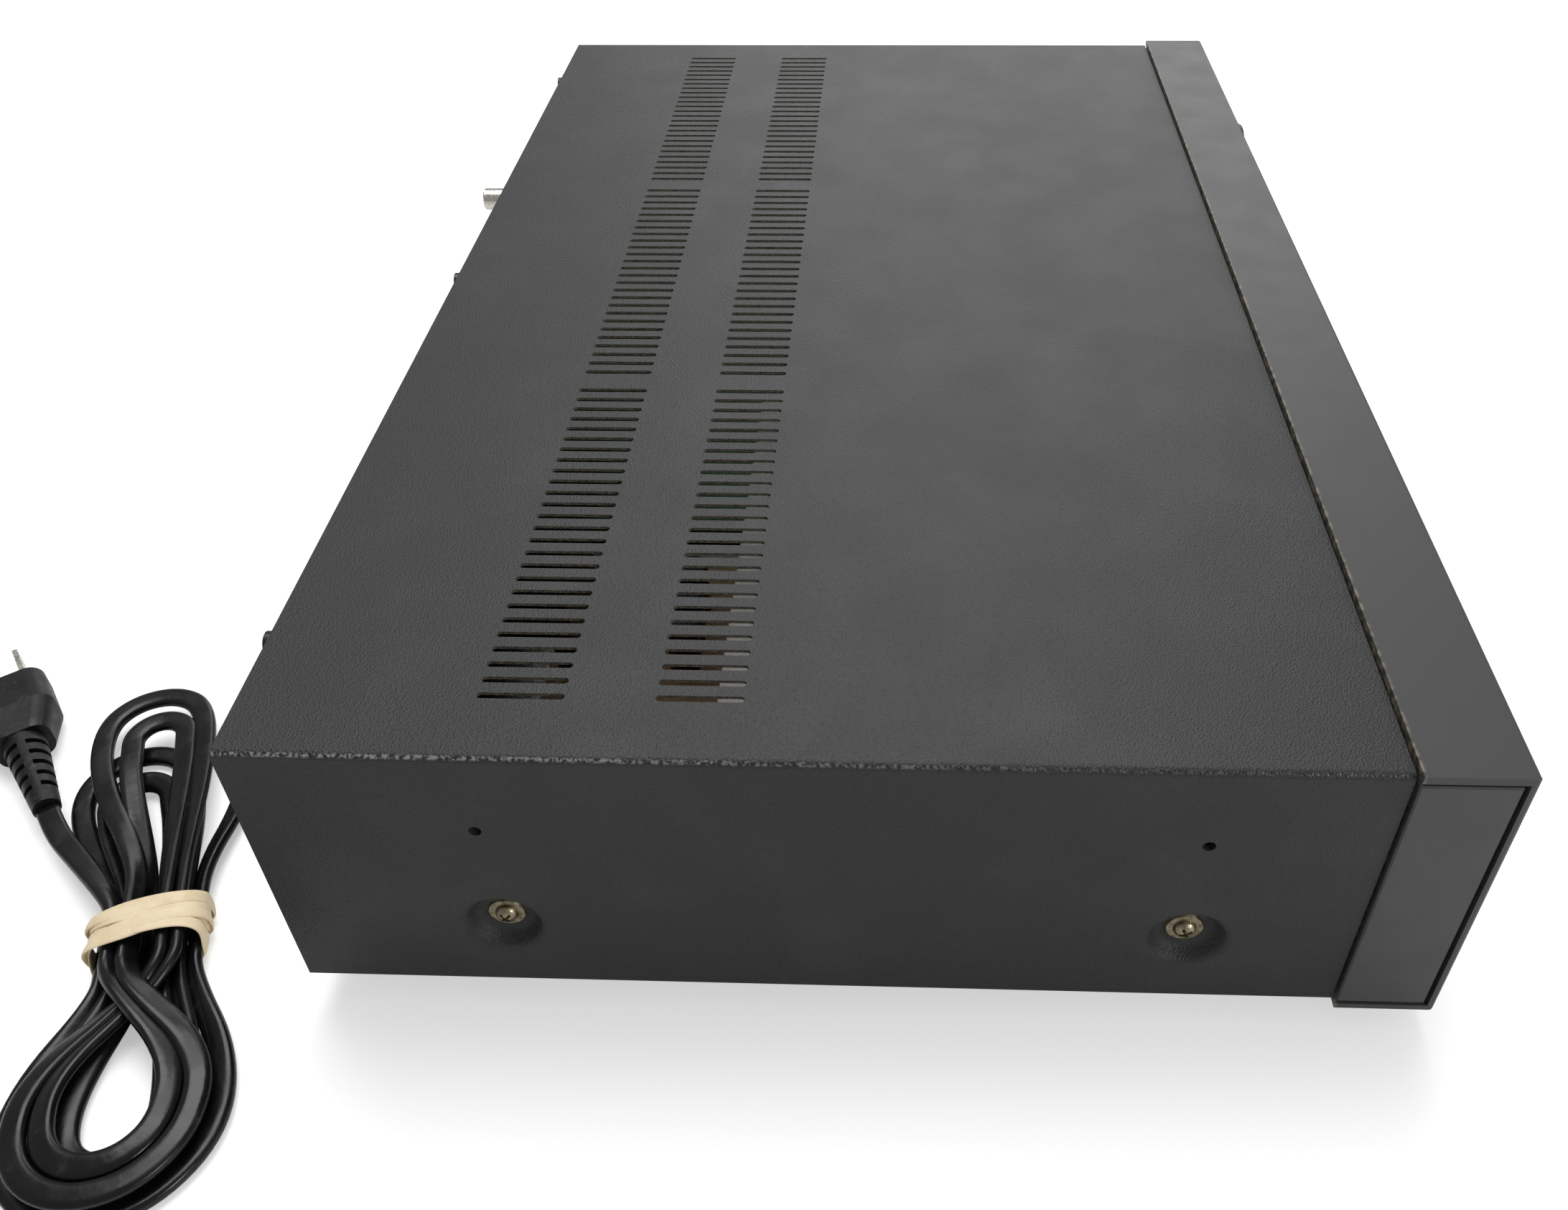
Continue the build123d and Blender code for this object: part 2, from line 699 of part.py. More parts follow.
# Disc drive: folded steel shell over a moulded frame
drive_top = drive_bottom + drive_height
drive_half = drive_width / 2
drive_y0 = front_y + drive_front
drive_y1 = drive_y0 + drive_length
shell_inner = drive_half - drive_sheet
frame_half = shell_inner - slide_gap
frame_inner = frame_half - frame_wall
spindle_y = front_y + spindle_back
hinge_y = front_y + hinge_back
frame_top = tray_bottom + tray_thickness + 7
bridge_thickness = 1.2
cable_slot = 12.0
with BuildPart() as drive_shell:
    block(drive_x - drive_half, drive_x + drive_half, drive_y0, drive_y1, drive_bottom, drive_top)
    top_edges = drive_shell.edges().filter_by(Axis.Y).group_by(Axis.Z)[-1]
    fillet(top_edges, 1.4)
    shell_room = (drive_x - shell_inner, drive_x + shell_inner, drive_y0, drive_y1 - drive_sheet)
    block(*shell_room, drive_bottom, drive_top - drive_sheet, mode=Mode.SUBTRACT)
    slot_room = (drive_x - shell_inner, drive_x + shell_inner, drive_y1 - drive_sheet, drive_y1)
    block(*slot_room, drive_bottom, drive_bottom + cable_slot, mode=Mode.SUBTRACT)
    # Pressed stiffening ribs in the lid
    with BuildSketch(level(drive_top)):
        with Locations((drive_x, spindle_y + 55)):
            with GridLocations(30, 1, 4, 1):
                SlotOverall(50, 5, rotation=90)
    extrude(amount=0.5)
finish(drive_shell, "drive_shell")

floor_z = drive_bottom + frame_floor
tongue_low = tray_bottom + 1.5
ear_half = 5.0
ear_inner = traverse_half + 2.5
ear_width = 5.0
damper_radius = 4.0
hinge_pin_radius = 2.0
hinge_z = traverse_z + traverse_plate / 2
rack_centre_x = drive_x + rack_line + rack_module * rack_pinion_teeth / 2
gear_y = front_y + gear_back
pulley_distance = gear_module * (loading_wheel_teeth + pulley_pinion_teeth) / 2
pulley_x = rack_centre_x + pulley_distance
motor_x = pulley_x + motor_offset
wheel_z = tray_bottom - 8.2
pulley_z = wheel_z - gear_thickness - 1.0
with BuildPart() as loader_frame:
    frame_end = drive_y1 - drive_sheet - slide_gap
    block(drive_x - frame_half, drive_x + frame_half, drive_y0, frame_end, drive_bottom, floor_z)
    for s in (-1, 1):
        wall = sorted((drive_x + s * frame_half, drive_x + s * frame_inner))
        block(*wall, drive_y0, frame_end, floor_z, frame_top)
        groove = sorted((drive_x + s * frame_inner, drive_x + s * (frame_inner + tray_tongue + gap)))
        groove_low = tongue_low - slide_gap
        groove_high = tongue_low + tongue_height + slide_gap
        block(*groove, drive_y0, frame_end - 2, groove_low, groove_high, mode=Mode.SUBTRACT)
        ear = sorted((drive_x + s * ear_inner, drive_x + s * (ear_inner + ear_width)))
        block(*ear, hinge_y - ear_half, hinge_y + ear_half, floor_z, hinge_z + ear_half)
    block(drive_x - frame_half, drive_x + frame_half, frame_end - 3, frame_end, floor_z, floor_z + 5)
    # Room for the tilting traverse
    block(
        drive_x - traverse_half - 1.5,
        drive_x + traverse_half + 1.5,
        front_y + traverse_front - 2,
        frame_end - 5,
        drive_bottom,
        floor_z,
        mode=Mode.SUBTRACT,
    )
    with BuildSketch(beside(drive_x + ear_inner + ear_width)):
        with Locations((hinge_y, hinge_z)):
            Circle(damper_radius)
    extrude(amount=-2 * (ear_inner + ear_width), mode=Mode.SUBTRACT)
    # Posts of the loading gears and guide ribs of the cam slider
    post(level(floor_z).shift_origin((rack_centre_x, gear_y, floor_z)), post_radius, tray_bottom - 1 - floor_z)
    post(level(floor_z).shift_origin((pulley_x, gear_y, floor_z)), post_radius, wheel_z + 3.5 - floor_z)
    for y in (front_y + cam_back - slide_gap - 1, front_y + cam_back + cam_thickness + slide_gap):
        block(drive_x - 45, drive_x + 45, y, y + 1, floor_z, floor_z + 1.5)
finish(loader_frame, "loader_frame")

# Clamp bridge: a steel strip across the frame that holds the clamper over the spindle
with BuildPart() as clamp_bridge:
    bridge_z = frame_top
    with BuildSketch(level(bridge_z)):
        with Locations((drive_x, spindle_y)):
            Rectangle(2 * frame_half - 4, 2 * clamper_flange + 8)
            Circle(clamper_radius + 0.7, mode=Mode.SUBTRACT)
    extrude(amount=bridge_thickness)
finish(clamp_bridge, "clamp_bridge")

disc_plane = tray_bottom + tray_thickness - 1.0
with BuildPart() as clamper:
    with BuildSketch(Plane(origin=(drive_x, spindle_y, 0), x_dir=(1, 0, 0), z_dir=(0, -1, 0))):
        with BuildLine():
            pad_z = disc_plane + 1.3
            flange_z = bridge_z + bridge_thickness + slide_gap
            Polyline(
                (hub_radius + 0.8, pad_z),
                (clamper_radius, pad_z),
                (clamper_radius, flange_z),
                (clamper_flange, flange_z),
                (clamper_flange, flange_z + 1.4),
                (0, flange_z + 1.4),
                (0, pad_z + 3.2),
                (hub_radius + 0.8, pad_z + 3.2),
                close=True,
            )
        make_face()
    revolve(axis=Axis((drive_x, spindle_y, 0), (0, 0, 1)))
finish(clamper, "clamper")

# Disc tray: disc recess, window open to the rear, side tongues and the loading rack
tray_y0 = front_y - tray_front_proud + tray_front_thickness
tray_y1 = tray_y0 + tray_length
tray_half = frame_inner - gap
tray_top = tray_bottom + tray_thickness
rack_phase_y = gear_y - math.floor((gear_y - tray_y0 - 8) / (math.pi * rack_module)) * math.pi * rack_module
with BuildPart() as disc_tray:
    block(drive_x - tray_half, drive_x + tray_half, tray_y0, tray_y1, tray_bottom, tray_top)
    upper_edges = disc_tray.faces().sort_by(Axis.Z)[-1].edges()
    chamfer(upper_edges, 0.6)
    tongue_reach = tray_half + tray_tongue
    block(
        drive_x - tongue_reach,
        drive_x + tongue_reach,
        tray_y0 + 8,
        tray_y1,
        tongue_low,
        tongue_low + tongue_height,
    )
    with BuildSketch(level(tray_top)):
        with Locations((drive_x, spindle_y)):
            Circle(disc_radius + 0.8)
    extrude(amount=-disc_recess, mode=Mode.SUBTRACT)
    with BuildSketch(level(tray_top - disc_recess)):
        with Locations((drive_x, spindle_y)):
            Circle(disc_radius * 2 / 3 + 0.5)
    extrude(amount=-1.0, mode=Mode.SUBTRACT)
    with BuildSketch(level(tray_bottom)):
        with Locations((drive_x, spindle_y)):
            Circle(tray_window_width / 2)
        with Locations((drive_x, (spindle_y + tray_y1) / 2)):
            Rectangle(tray_window_width, tray_y1 - spindle_y)
    extrude(amount=tray_thickness, mode=Mode.SUBTRACT)
    rack_z = tray_bottom - gear_thickness - 0.3
    rack_plane = level(rack_z)
    rack_length = tray_y1 - rack_phase_y - 2
    rack_tooth_x = drive_x + rack_line
    rack_teeth(rack_plane, rack_module, rack_length, rack_tooth_x, rack_phase_y, tray_bottom - rack_z)
    rack_back = drive_x + rack_line - 1.1 * rack_module
    block(rack_back - rack_width, rack_back, tray_y0 + 5, tray_y1, rack_z, tray_bottom)
finish(disc_tray, "disc_tray")

with BuildPart() as tray_front:
    with BuildSketch(across(tray_y0)):
        with Locations((drive_x, tray_mid_z)):
            RectangleRounded(tray_front_width, tray_front_height, 1.2)
    extrude(amount=tray_front_thickness)
    fillet(tray_front.faces().sort_by(Axis.Y)[0].edges(), 0.6)
finish(tray_front, "tray_front")

# Loading gears, pulleys, belt and motor
with BuildPart() as loading_gear:
    wheel_plane = level(wheel_z).shift_origin((rack_centre_x, gear_y, wheel_z))
    spur_teeth(wheel_plane, gear_module, loading_wheel_teeth, gear_thickness, 0)
    pinion_z = wheel_z + gear_thickness
    pinion_plane = level(pinion_z).shift_origin((rack_centre_x, gear_y, pinion_z))
    pinion_phase = 180 + 180 / rack_pinion_teeth
    pinion_height = tray_bottom - 0.4 - pinion_z
    spur_teeth(pinion_plane, rack_module, rack_pinion_teeth, pinion_height, pinion_phase)
    post(wheel_plane, post_radius + fit, drive_height, mode=Mode.SUBTRACT)
finish(loading_gear, "loading_gear")

with BuildPart() as pulley_gear:
    pulley_plane = level(pulley_z).shift_origin((pulley_x, gear_y, pulley_z))
    post(pulley_plane, pulley_radius + 1, gear_thickness)
    with BuildSketch(pulley_plane.offset(0.6)):
        Circle(pulley_radius + 2)
        Circle(pulley_radius, mode=Mode.SUBTRACT)
    extrude(amount=gear_thickness - 1.2, mode=Mode.SUBTRACT)
    pulley_pinion_plane = pulley_plane.offset(gear_thickness)
    pulley_pinion_phase = 180 + 180 / pulley_pinion_teeth
    pulley_pinion_height = wheel_z + gear_thickness - pulley_z - gear_thickness
    spur_teeth(
        pulley_pinion_plane,
        gear_module,
        pulley_pinion_teeth,
        pulley_pinion_height,
        pulley_pinion_phase,
    )
    post(pulley_plane, post_radius + fit, drive_height, mode=Mode.SUBTRACT)
finish(pulley_gear, "pulley_gear")

with BuildPart() as motor_pulley:
    motor_plane = level(pulley_z).shift_origin((motor_x, gear_y, pulley_z))
    post(motor_plane, motor_pulley_radius + 1, gear_thickness)
    with BuildSketch(motor_plane.offset(0.6)):
        Circle(motor_pulley_radius + 2)
        Circle(motor_pulley_radius, mode=Mode.SUBTRACT)
    extrude(amount=gear_thickness - 1.2, mode=Mode.SUBTRACT)
    post(motor_plane, 1.0, -4.0)
finish(motor_pulley, "motor_pulley")

with BuildPart() as loading_motor:
    can_plane = level(floor_z).shift_origin((motor_x, gear_y, floor_z))
    can_height = pulley_z - 1.0 - floor_z
    post(can_plane, motor_can_radius, can_height)
    fillet(loading_motor.edges().filter_by(GeomType.CIRCLE).sort_by(Axis.Z)[-1], 1.0)
    post(can_plane.offset(can_height), 1.0 + fit, -4.0, mode=Mode.SUBTRACT)
finish(loading_motor, "loading_motor")

with BuildPart() as loading_belt:
    belt_plane = level(pulley_z + 0.6 + slide_gap)
    with BuildSketch(belt_plane):
        with Locations((pulley_x, gear_y)):
            Circle(pulley_radius + gap + belt_thickness)
        with Locations((motor_x, gear_y)):
            Circle(motor_pulley_radius + gap + belt_thickness)
        make_hull()
    extrude(amount=gear_thickness - 1.2 - 2 * slide_gap)
    with BuildSketch(belt_plane):
        with Locations((pulley_x, gear_y)):
            Circle(pulley_radius + gap)
        with Locations((motor_x, gear_y)):
            Circle(motor_pulley_radius + gap)
        make_hull()
    extrude(amount=gear_thickness - 1.2 - 2 * slide_gap, mode=Mode.SUBTRACT)
finish(loading_belt, "loading_belt")

# Cam slider: its slanted slot lowers the traverse's front pin as it moves to +X
cam_y = front_y + cam_back
pin_drop = (hinge_y - cam_y - cam_thickness / 2) * math.sin(math.radians(tilt_degrees))
with BuildPart() as cam_slider:
    cam_top = hinge_z + cam_pin_radius + 3
    block(drive_x - cam_stroke - 8, drive_x + 10, cam_y, cam_y + cam_thickness, floor_z + slide_gap, cam_top)
    slot_half = cam_pin_radius + gap + 0.1
    slot_angle = math.degrees(math.atan2(pin_drop, cam_stroke))
    with BuildSketch(across(cam_y + cam_thickness)):
        with Locations((drive_x - cam_stroke / 2, hinge_z - pin_drop / 2)):
            slot_centres = math.hypot(cam_stroke, pin_drop)
            SlotCenterToCenter(slot_centres, 2 * slot_half, rotation=slot_angle)
    extrude(amount=cam_thickness, mode=Mode.SUBTRACT)
finish(cam_slider, "cam_slider")

# Traverse frame: tilting plate that carries the spindle, the pickup rods and the sled gears
traverse_top = traverse_z + traverse_plate
traverse_y0 = front_y + traverse_front
rod_x = rod_spacing / 2
rod_front = spindle_y + 8
rod_rear = spindle_y + pickup_front + pickup_length + pickup_travel + 3
sled_wheel_x = drive_x + sled_line + sled_module * sled_pinion_teeth / 2
sled_gear_y = spindle_y + sled_gear_back
sled_motor_x = sled_wheel_x + sled_module * (sled_wheel_teeth + sled_motor_teeth) / 2
support = 5.0
with BuildPart() as traverse_frame:
    block(
        drive_x - traverse_half,
        drive_x + traverse_half,
        traverse_y0,
        hinge_y + 3,
        traverse_z,
        traverse_top,
    )
    fillet(traverse_frame.edges().filter_by(Axis.Z), 3)
    block(
        drive_x - rod_x + 3,
        drive_x + rod_x - 3,
        spindle_y + spindle_can_radius + 3,
        rod_rear - 6,
        traverse_z,
        traverse_top,
        mode=Mode.SUBTRACT,
    )
    for s in (-1, 1):
        rod_block = (drive_x + s * rod_x - 3, drive_x + s * rod_x + 3)
        block(*rod_block, rod_front, rod_front + support, traverse_top, rod_z + 3)
        block(*rod_block, rod_rear, rod_rear + support, traverse_top, rod_z + 3)
        pin_face = beside(drive_x + s * traverse_half).shift_origin((drive_x + s * traverse_half, hinge_y, hinge_z))
        post(pin_face, hinge_pin_radius, s * (ear_inner + ear_width - traverse_half))
        with BuildSketch(across(rod_rear + support)):
            with Locations((drive_x + s * rod_x, rod_z)):
                Circle(rod_radius + fit)
        extrude(amount=rod_rear + support - rod_front, mode=Mode.SUBTRACT)
    cam_pin_plane = across(traverse_y0).shift_origin((drive_x, traverse_y0, hinge_z))
    post(cam_pin_plane, cam_pin_radius - 0.1, traverse_y0 - cam_y + 0.5)
    with BuildSketch(level(traverse_z)):
        with Locations((sled_wheel_x, sled_gear_y)):
            Circle(post_radius + fit)
        with Locations((sled_motor_x, sled_gear_y)):
            Circle(1.3)
    extrude(amount=traverse_plate, mode=Mode.SUBTRACT)
finish(traverse_frame, "traverse_frame")

with BuildPart() as traverse_dampers:
    for s in (-1, 1):
        near = drive_x + s * ear_inner
        damper_plane = beside(near).shift_origin((near, hinge_y, hinge_z))
        with BuildSketch(damper_plane):
            Circle(damper_radius)
            Circle(hinge_pin_radius + fit, mode=Mode.SUBTRACT)
        extrude(amount=s * ear_width)
finish(traverse_dampers, "traverse_dampers")

with BuildPart() as guide_rods:
    for s in (-1, 1):
        start = rod_rear + support
        rod_plane = across(start).shift_origin((drive_x + s * rod_x, start, rod_z))
        post(rod_plane, rod_radius, start - rod_front)
finish(guide_rods, "guide_rods")

# Spindle motor and turntable
motor_top = tray_bottom - 0.5
with BuildPart() as spindle_motor:
    spindle_base = level(traverse_top).shift_origin((drive_x, spindle_y, traverse_top))
    post(spindle_base, spindle_can_radius, motor_top - traverse_top)
    post(spindle_base.offset(motor_top - traverse_top), post_radius + fit, -5.0, mode=Mode.SUBTRACT)
finish(spindle_motor, "spindle_motor")

with BuildPart() as turntable:
    with BuildSketch(Plane(origin=(drive_x, spindle_y, 0), x_dir=(1, 0, 0), z_dir=(0, -1, 0))):
        with BuildLine():
            Polyline(
                (0, motor_top - 4.5),
                (post_radius, motor_top - 4.5),
                (post_radius, motor_top + gap),
                (turntable_radius, motor_top + gap),
                (turntable_radius, disc_plane),
                (hub_radius, disc_plane),
                (hub_radius, disc_plane + hub_height * 0.5),
                (hub_radius - 1.2, disc_plane + hub_height),
                (0, disc_plane + hub_height),
                close=True,
            )
        make_face()
    revolve(axis=Axis((drive_x, spindle_y, 0), (0, 0, 1)))
finish(turntable, "turntable")

# Optical pickup with its lens, rod bores and rack
pickup_y0 = spindle_y + pickup_front
pickup_y1 = pickup_y0 + pickup_length
pickup_z = traverse_top + 0.3
sled_rack_z = traverse_top + 1.0
sled_rack_height = 2.5
sled_pitch = math.pi * sled_module
rack_steps = math.floor(pickup_travel / sled_pitch)
sled_first_y = sled_gear_y - rack_steps * sled_pitch
with BuildPart() as optical_pickup:
    block(
        drive_x - pickup_half,
        drive_x + pickup_half,
        pickup_y0,
        pickup_y1,
        pickup_z,
        pickup_z + pickup_height,
    )
    for s in (-1, 1):
        with BuildSketch(across(pickup_y1)):
            with Locations((drive_x + s * rod_x, rod_z)):
                Circle(rod_radius + fit)
        extrude(amount=pickup_length, mode=Mode.SUBTRACT)
    lens_y = spindle_y + lens_back
    holder_z = pickup_z + pickup_height
    block(drive_x - 9, drive_x + 9, lens_y - 7, lens_y + 7, holder_z, holder_z + 2)
    lens_plane = level(holder_z + 2).shift_origin((drive_x, lens_y, holder_z + 2))
    post(lens_plane, lens_radius, 1.6)
    fillet(optical_pickup.edges().filter_by(GeomType.CIRCLE).sort_by(Axis.Z)[-1], 0.7)
    rack_teeth(
        level(sled_rack_z),
        sled_module,
        (rack_steps + 2) * sled_pitch,
        drive_x + sled_line,
        sled_first_y,
        sled_rack_height,
    )
    sled_rack_back = drive_x + sled_line - 1.1 * sled_module
    sled_rack_end = sled_first_y + (rack_steps + 1) * sled_pitch + sled_module
    block(
        drive_x + pickup_half - 0.5,
        sled_rack_back,
        sled_first_y - sled_module,
        sled_rack_end,
        sled_rack_z,
        sled_rack_z + sled_rack_height,
    )
finish(optical_pickup, "optical_pickup")

with BuildPart() as sled_gear:
    sled_low = traverse_z - 0.4 - gear_thickness
    sled_wheel_plane = level(sled_low).shift_origin((sled_wheel_x, sled_gear_y, sled_low))
    spur_teeth(sled_wheel_plane, sled_module, sled_wheel_teeth, gear_thickness, 0)
    post(sled_wheel_plane, post_radius, traverse_top + 0.6 - sled_low)
    sled_pinion_z = traverse_top + 0.4
    sled_pinion_plane = level(sled_pinion_z).shift_origin((sled_wheel_x, sled_gear_y, sled_pinion_z))
    sled_pinion_phase = 180 + 180 / sled_pinion_teeth
    spur_teeth(sled_pinion_plane, sled_module, sled_pinion_teeth, sled_rack_height + 1, sled_pinion_phase)
finish(sled_gear, "sled_gear")

with BuildPart() as sled_motor_gear:
    sled_motor_plane = level(sled_low).shift_origin((sled_motor_x, sled_gear_y, sled_low))
    sled_motor_phase = 180 + 180 / sled_motor_teeth
    spur_teeth(sled_motor_plane, sled_module, sled_motor_teeth, gear_thickness, sled_motor_phase)
    post(sled_motor_plane, 1.0, traverse_top + 3.5 - sled_low)
finish(sled_motor_gear, "sled_motor_gear")

with BuildPart() as sled_motor:
    sled_can_plane = level(traverse_top).shift_origin((sled_motor_x, sled_gear_y, traverse_top))
    post(sled_can_plane, 7.5, motor_top - traverse_top)
    post(sled_can_plane, 1.0 + fit, 4.0, mode=Mode.SUBTRACT)
finish(sled_motor, "sled_motor")

# Circuit boards
board_top = board_z + board_thickness
for board_name, (x0, x1, y0, y1) in (("main_board", main_board_box), ("power_board", power_board_box)):
    with BuildPart() as board:
        block(x0, x1, y0, y1, board_z, board_top)
    finish(board, board_name)

# Electrolytic capacitors on both boards: centre, radius and height
main_x0, main_x1, main_y0, main_y1 = main_board_box
power_x0, power_x1, power_y0, power_y1 = power_board_box
can_rows = [
    (power_x0 + 22, power_y0 + 18, 2, 22.0, 9.0, 30.0),
    (power_x1 - 38, power_y0 + 14, 3, 13.0, 5.0, 18.0),
    (main_x1 - 70, main_y1 - 40, 4, 12.0, 4.0, 11.0),
    (main_x0 + 30, main_y0 + 60, 5, 12.0, 4.0, 11.0),
]
with BuildPart() as capacitors:
    for x, y, count, pitch, radius, height in can_rows:
        with BuildSketch(level(board_top)):
            with Locations((x, y)):
                with GridLocations(pitch, 1, count, 1):
                    Circle(radius)
        extrude(amount=height)
    chamfer(capacitors.edges().filter_by(GeomType.CIRCLE).filter_by(lambda e: e.center().Z > board_top + 1), 0.6)
finish(capacitors, "capacitors")

# Chips, transformer and plug connectors: centre, size across, size deep, height
chip_rows = [
    (main_x0 + 95, main_y0 + 70, 28.0, 28.0, 2.5),
    (main_x0 + 145, main_y0 + 80, 20.0, 20.0, 2.5),
    (main_x0 + 190, main_y0 + 60, 14.0, 20.0, 2.5),
    (main_x0 + 24, main_y1 - 30, 30.0, 8.0, 9.0),
    (main_x0 + 120, main_y0 + 24, 50.0, 7.0, 9.0),
    (power_x0 + 110, power_y1 - 26, 36.0, 30.0, 32.0),
    (power_x1 - 12, power_y0 + 32, 8.0, 24.0, 9.0),
]
with BuildPart() as board_chips:
    for x, y, across_x, deep, height in chip_rows:
        with BuildSketch(level(board_top)):
            with Locations((x, y)):
                Rectangle(across_x, deep)
        extrude(amount=height)
finish(board_chips, "board_chips")

# Heat sink: comb of fins on a back plate
with BuildPart() as heat_sink:
    sink_x = power_x0 + 40
    sink_y = power_y0 + 44
    block(sink_x - 25, sink_x + 25, sink_y, sink_y + 3, board_top, board_top + 34)
    for n in range(9):
        fin_x = sink_x - 25 + n * 6
        block(fin_x, fin_x + 1.5, sink_y + 3, sink_y + 15, board_top, board_top + 34)
finish(heat_sink, "heat_sink")

# Rear sockets: plastic blocks with collars and nickel barrels around their insulators
block_edge = socket_collar_radius + 2
block_front = panel_front - socket_block_depth
optical_half = optical_size / 2
with BuildPart() as socket_blocks:
    coax_top = barrel_places[0][1]
    block(
        coax_x - block_edge,
        coax_x + block_edge,
        block_front,
        panel_front,
        barrel_places[1][1] - block_edge,
        coax_top + block_edge,
    )
    block(
        analogue_x - block_edge,
        analogue_x + socket_pitch + block_edge,
        block_front,
        panel_front,
        analogue_z - socket_pitch - block_edge,
        analogue_z + block_edge,
    )
    block(
        optical_x - block_edge,
        optical_x + block_edge,
        block_front,
        panel_front,
        optical_places[1][1] - block_edge,
        optical_places[0][1] + block_edge,
    )
    # Legs down to the main board
    for x in (coax_x, analogue_x, analogue_x + socket_pitch, optical_x):
        block(x - 2, x + 2, block_front + 1, block_front + 4, board_top, analogue_z)
    with BuildSketch(across(panel_front)):
        with Locations(*barrel_places):
            Circle(socket_collar_radius)
        with Locations(*optical_places):
            Rectangle(optical_size, optical_size)
    extrude(amount=-chassis_sheet - socket_collar)
    with BuildSketch(across(panel_front)):
        with Locations(*barrel_places):
            Circle(barrel_bore - fit)
    extrude(amount=-(rear_y + socket_reach - 1.5 - panel_front))
    with BuildSketch(across(rear_y + socket_reach)):
        with Locations(*barrel_places):
            Circle(1.65)
    extrude(amount=11.0, mode=Mode.SUBTRACT)
    with BuildSketch(across(panel_back + socket_collar)):
        with Locations(*optical_places):
            Rectangle(optical_half + 1.6, optical_half + 1.6)
    extrude(amount=6.0, mode=Mode.SUBTRACT)
    with BuildSketch(across(panel_back + socket_collar)):
        with Locations(*panel_screws[:2]):
            Circle(screw_radius + fit)
    extrude(amount=screw_length + socket_collar, mode=Mode.SUBTRACT)
finish(socket_blocks, "socket_blocks")

with BuildPart() as socket_barrels:
    barrel_start = panel_back + socket_collar
    with BuildSketch(across(barrel_start)):
        with Locations(*barrel_places):
            Circle(barrel_radius)
    extrude(amount=-(rear_y + socket_reach - barrel_start))
    chamfer(socket_barrels.edges().filter_by(GeomType.CIRCLE).group_by(Axis.Y)[-1], 0.5)
    with BuildSketch(across(barrel_start)):
        with Locations(*barrel_places):
            Circle(barrel_bore)
    extrude(amount=-(rear_y + socket_reach - barrel_start), mode=Mode.SUBTRACT)
finish(socket_barrels, "socket_barrels")

# Ribbon cable from the drive's rear to the main board
ribbon_width = 24.0
ribbon_x = drive_x + 60
ribbon_thickness = 0.4
with BuildPart() as ribbon_cable:
    ribbon_y = drive_y1 + 5
    ribbon_top = floor_z + 4.5
    with BuildSketch(beside(ribbon_x)):
        with BuildLine():
            FilletPolyline(
                (frame_end, ribbon_top),
                (ribbon_y, ribbon_top),
                (ribbon_y, board_top + 5),
                radius=2.5,
            )
            offset(amount=ribbon_thickness, side=Side.LEFT)
        make_face()
    extrude(amount=ribbon_width / 2, both=True)
finish(ribbon_cable, "ribbon_cable")

# Feet with their rubber pads
foot_places = [(x, y) for x in (-foot_x, foot_x) for y in (foot_front_y, foot_rear_y)]
foot_bottom = pad_height - pad_seat
screw_floor = foot_height - 3.0
with BuildPart() as feet:
    for x, y in foot_places:
        with BuildSketch(Plane(origin=(x, y, 0), x_dir=(1, 0, 0), z_dir=(0, -1, 0))):
            with BuildLine():
                Polyline(
                    (screw_radius + screw_slack, foot_height),
                    (foot_radius, foot_height),
                    (foot_radius - foot_taper, foot_bottom),
                    (pad_outer, foot_bottom),
                    (pad_outer, pad_height),
                    (pad_inner, pad_height),
                    (pad_inner, foot_bottom),
                    (pad_inner - 1.5, foot_bottom),
                    (pad_inner - 1.5, screw_floor),
                    (screw_radius + screw_slack, screw_floor),
                    close=True,
                )
            make_face()
        revolve(axis=Axis((x, y, 0), (0, 0, 1)))
finish(feet, "feet")

with BuildPart() as foot_pads:
    with BuildSketch(level(0)):
        with Locations(*foot_places):
            Circle(pad_outer)
            Circle(pad_inner, mode=Mode.SUBTRACT)
    extrude(amount=pad_height)
finish(foot_pads, "foot_pads")

# Screws of the cover's sides, each on a flange washer
with BuildPart() as cover_side_screws:
    for s in (-1, 1):
        seat_x = s * (cover_half - dish_depth)
        for y in dish_ys:
            pan_screw(Plane(origin=(seat_x, y, dish_z), x_dir=(0, 1, 0), z_dir=(s, 0, 0)), washer_radius)
finish(cover_side_screws, "cover_side_screws")

# Smaller fasteners: cover lip, rear panel, feet and bezel flange
with BuildPart() as panel_screw_set:
    for x, z in lip_screws:
        pan_screw(Plane(origin=(x, rear_y, z), x_dir=(1, 0, 0), z_dir=(0, 1, 0)))
    for x, z in panel_screws:
        pan_screw(Plane(origin=(x, panel_back, z), x_dir=(1, 0, 0), z_dir=(0, 1, 0)))
    for x, y in foot_places:
        pan_screw(Plane(origin=(x, y, screw_floor), x_dir=(1, 0, 0), z_dir=(0, 0, -1)))
    for x in flange_screw_xs:
        flange_seat = (x, bezel_back + chassis_sheet, flange_screw_z)
        pan_screw(Plane(origin=flange_seat, x_dir=(1, 0, 0), z_dir=(0, 1, 0)))
finish(panel_screw_set, "panel_screws")

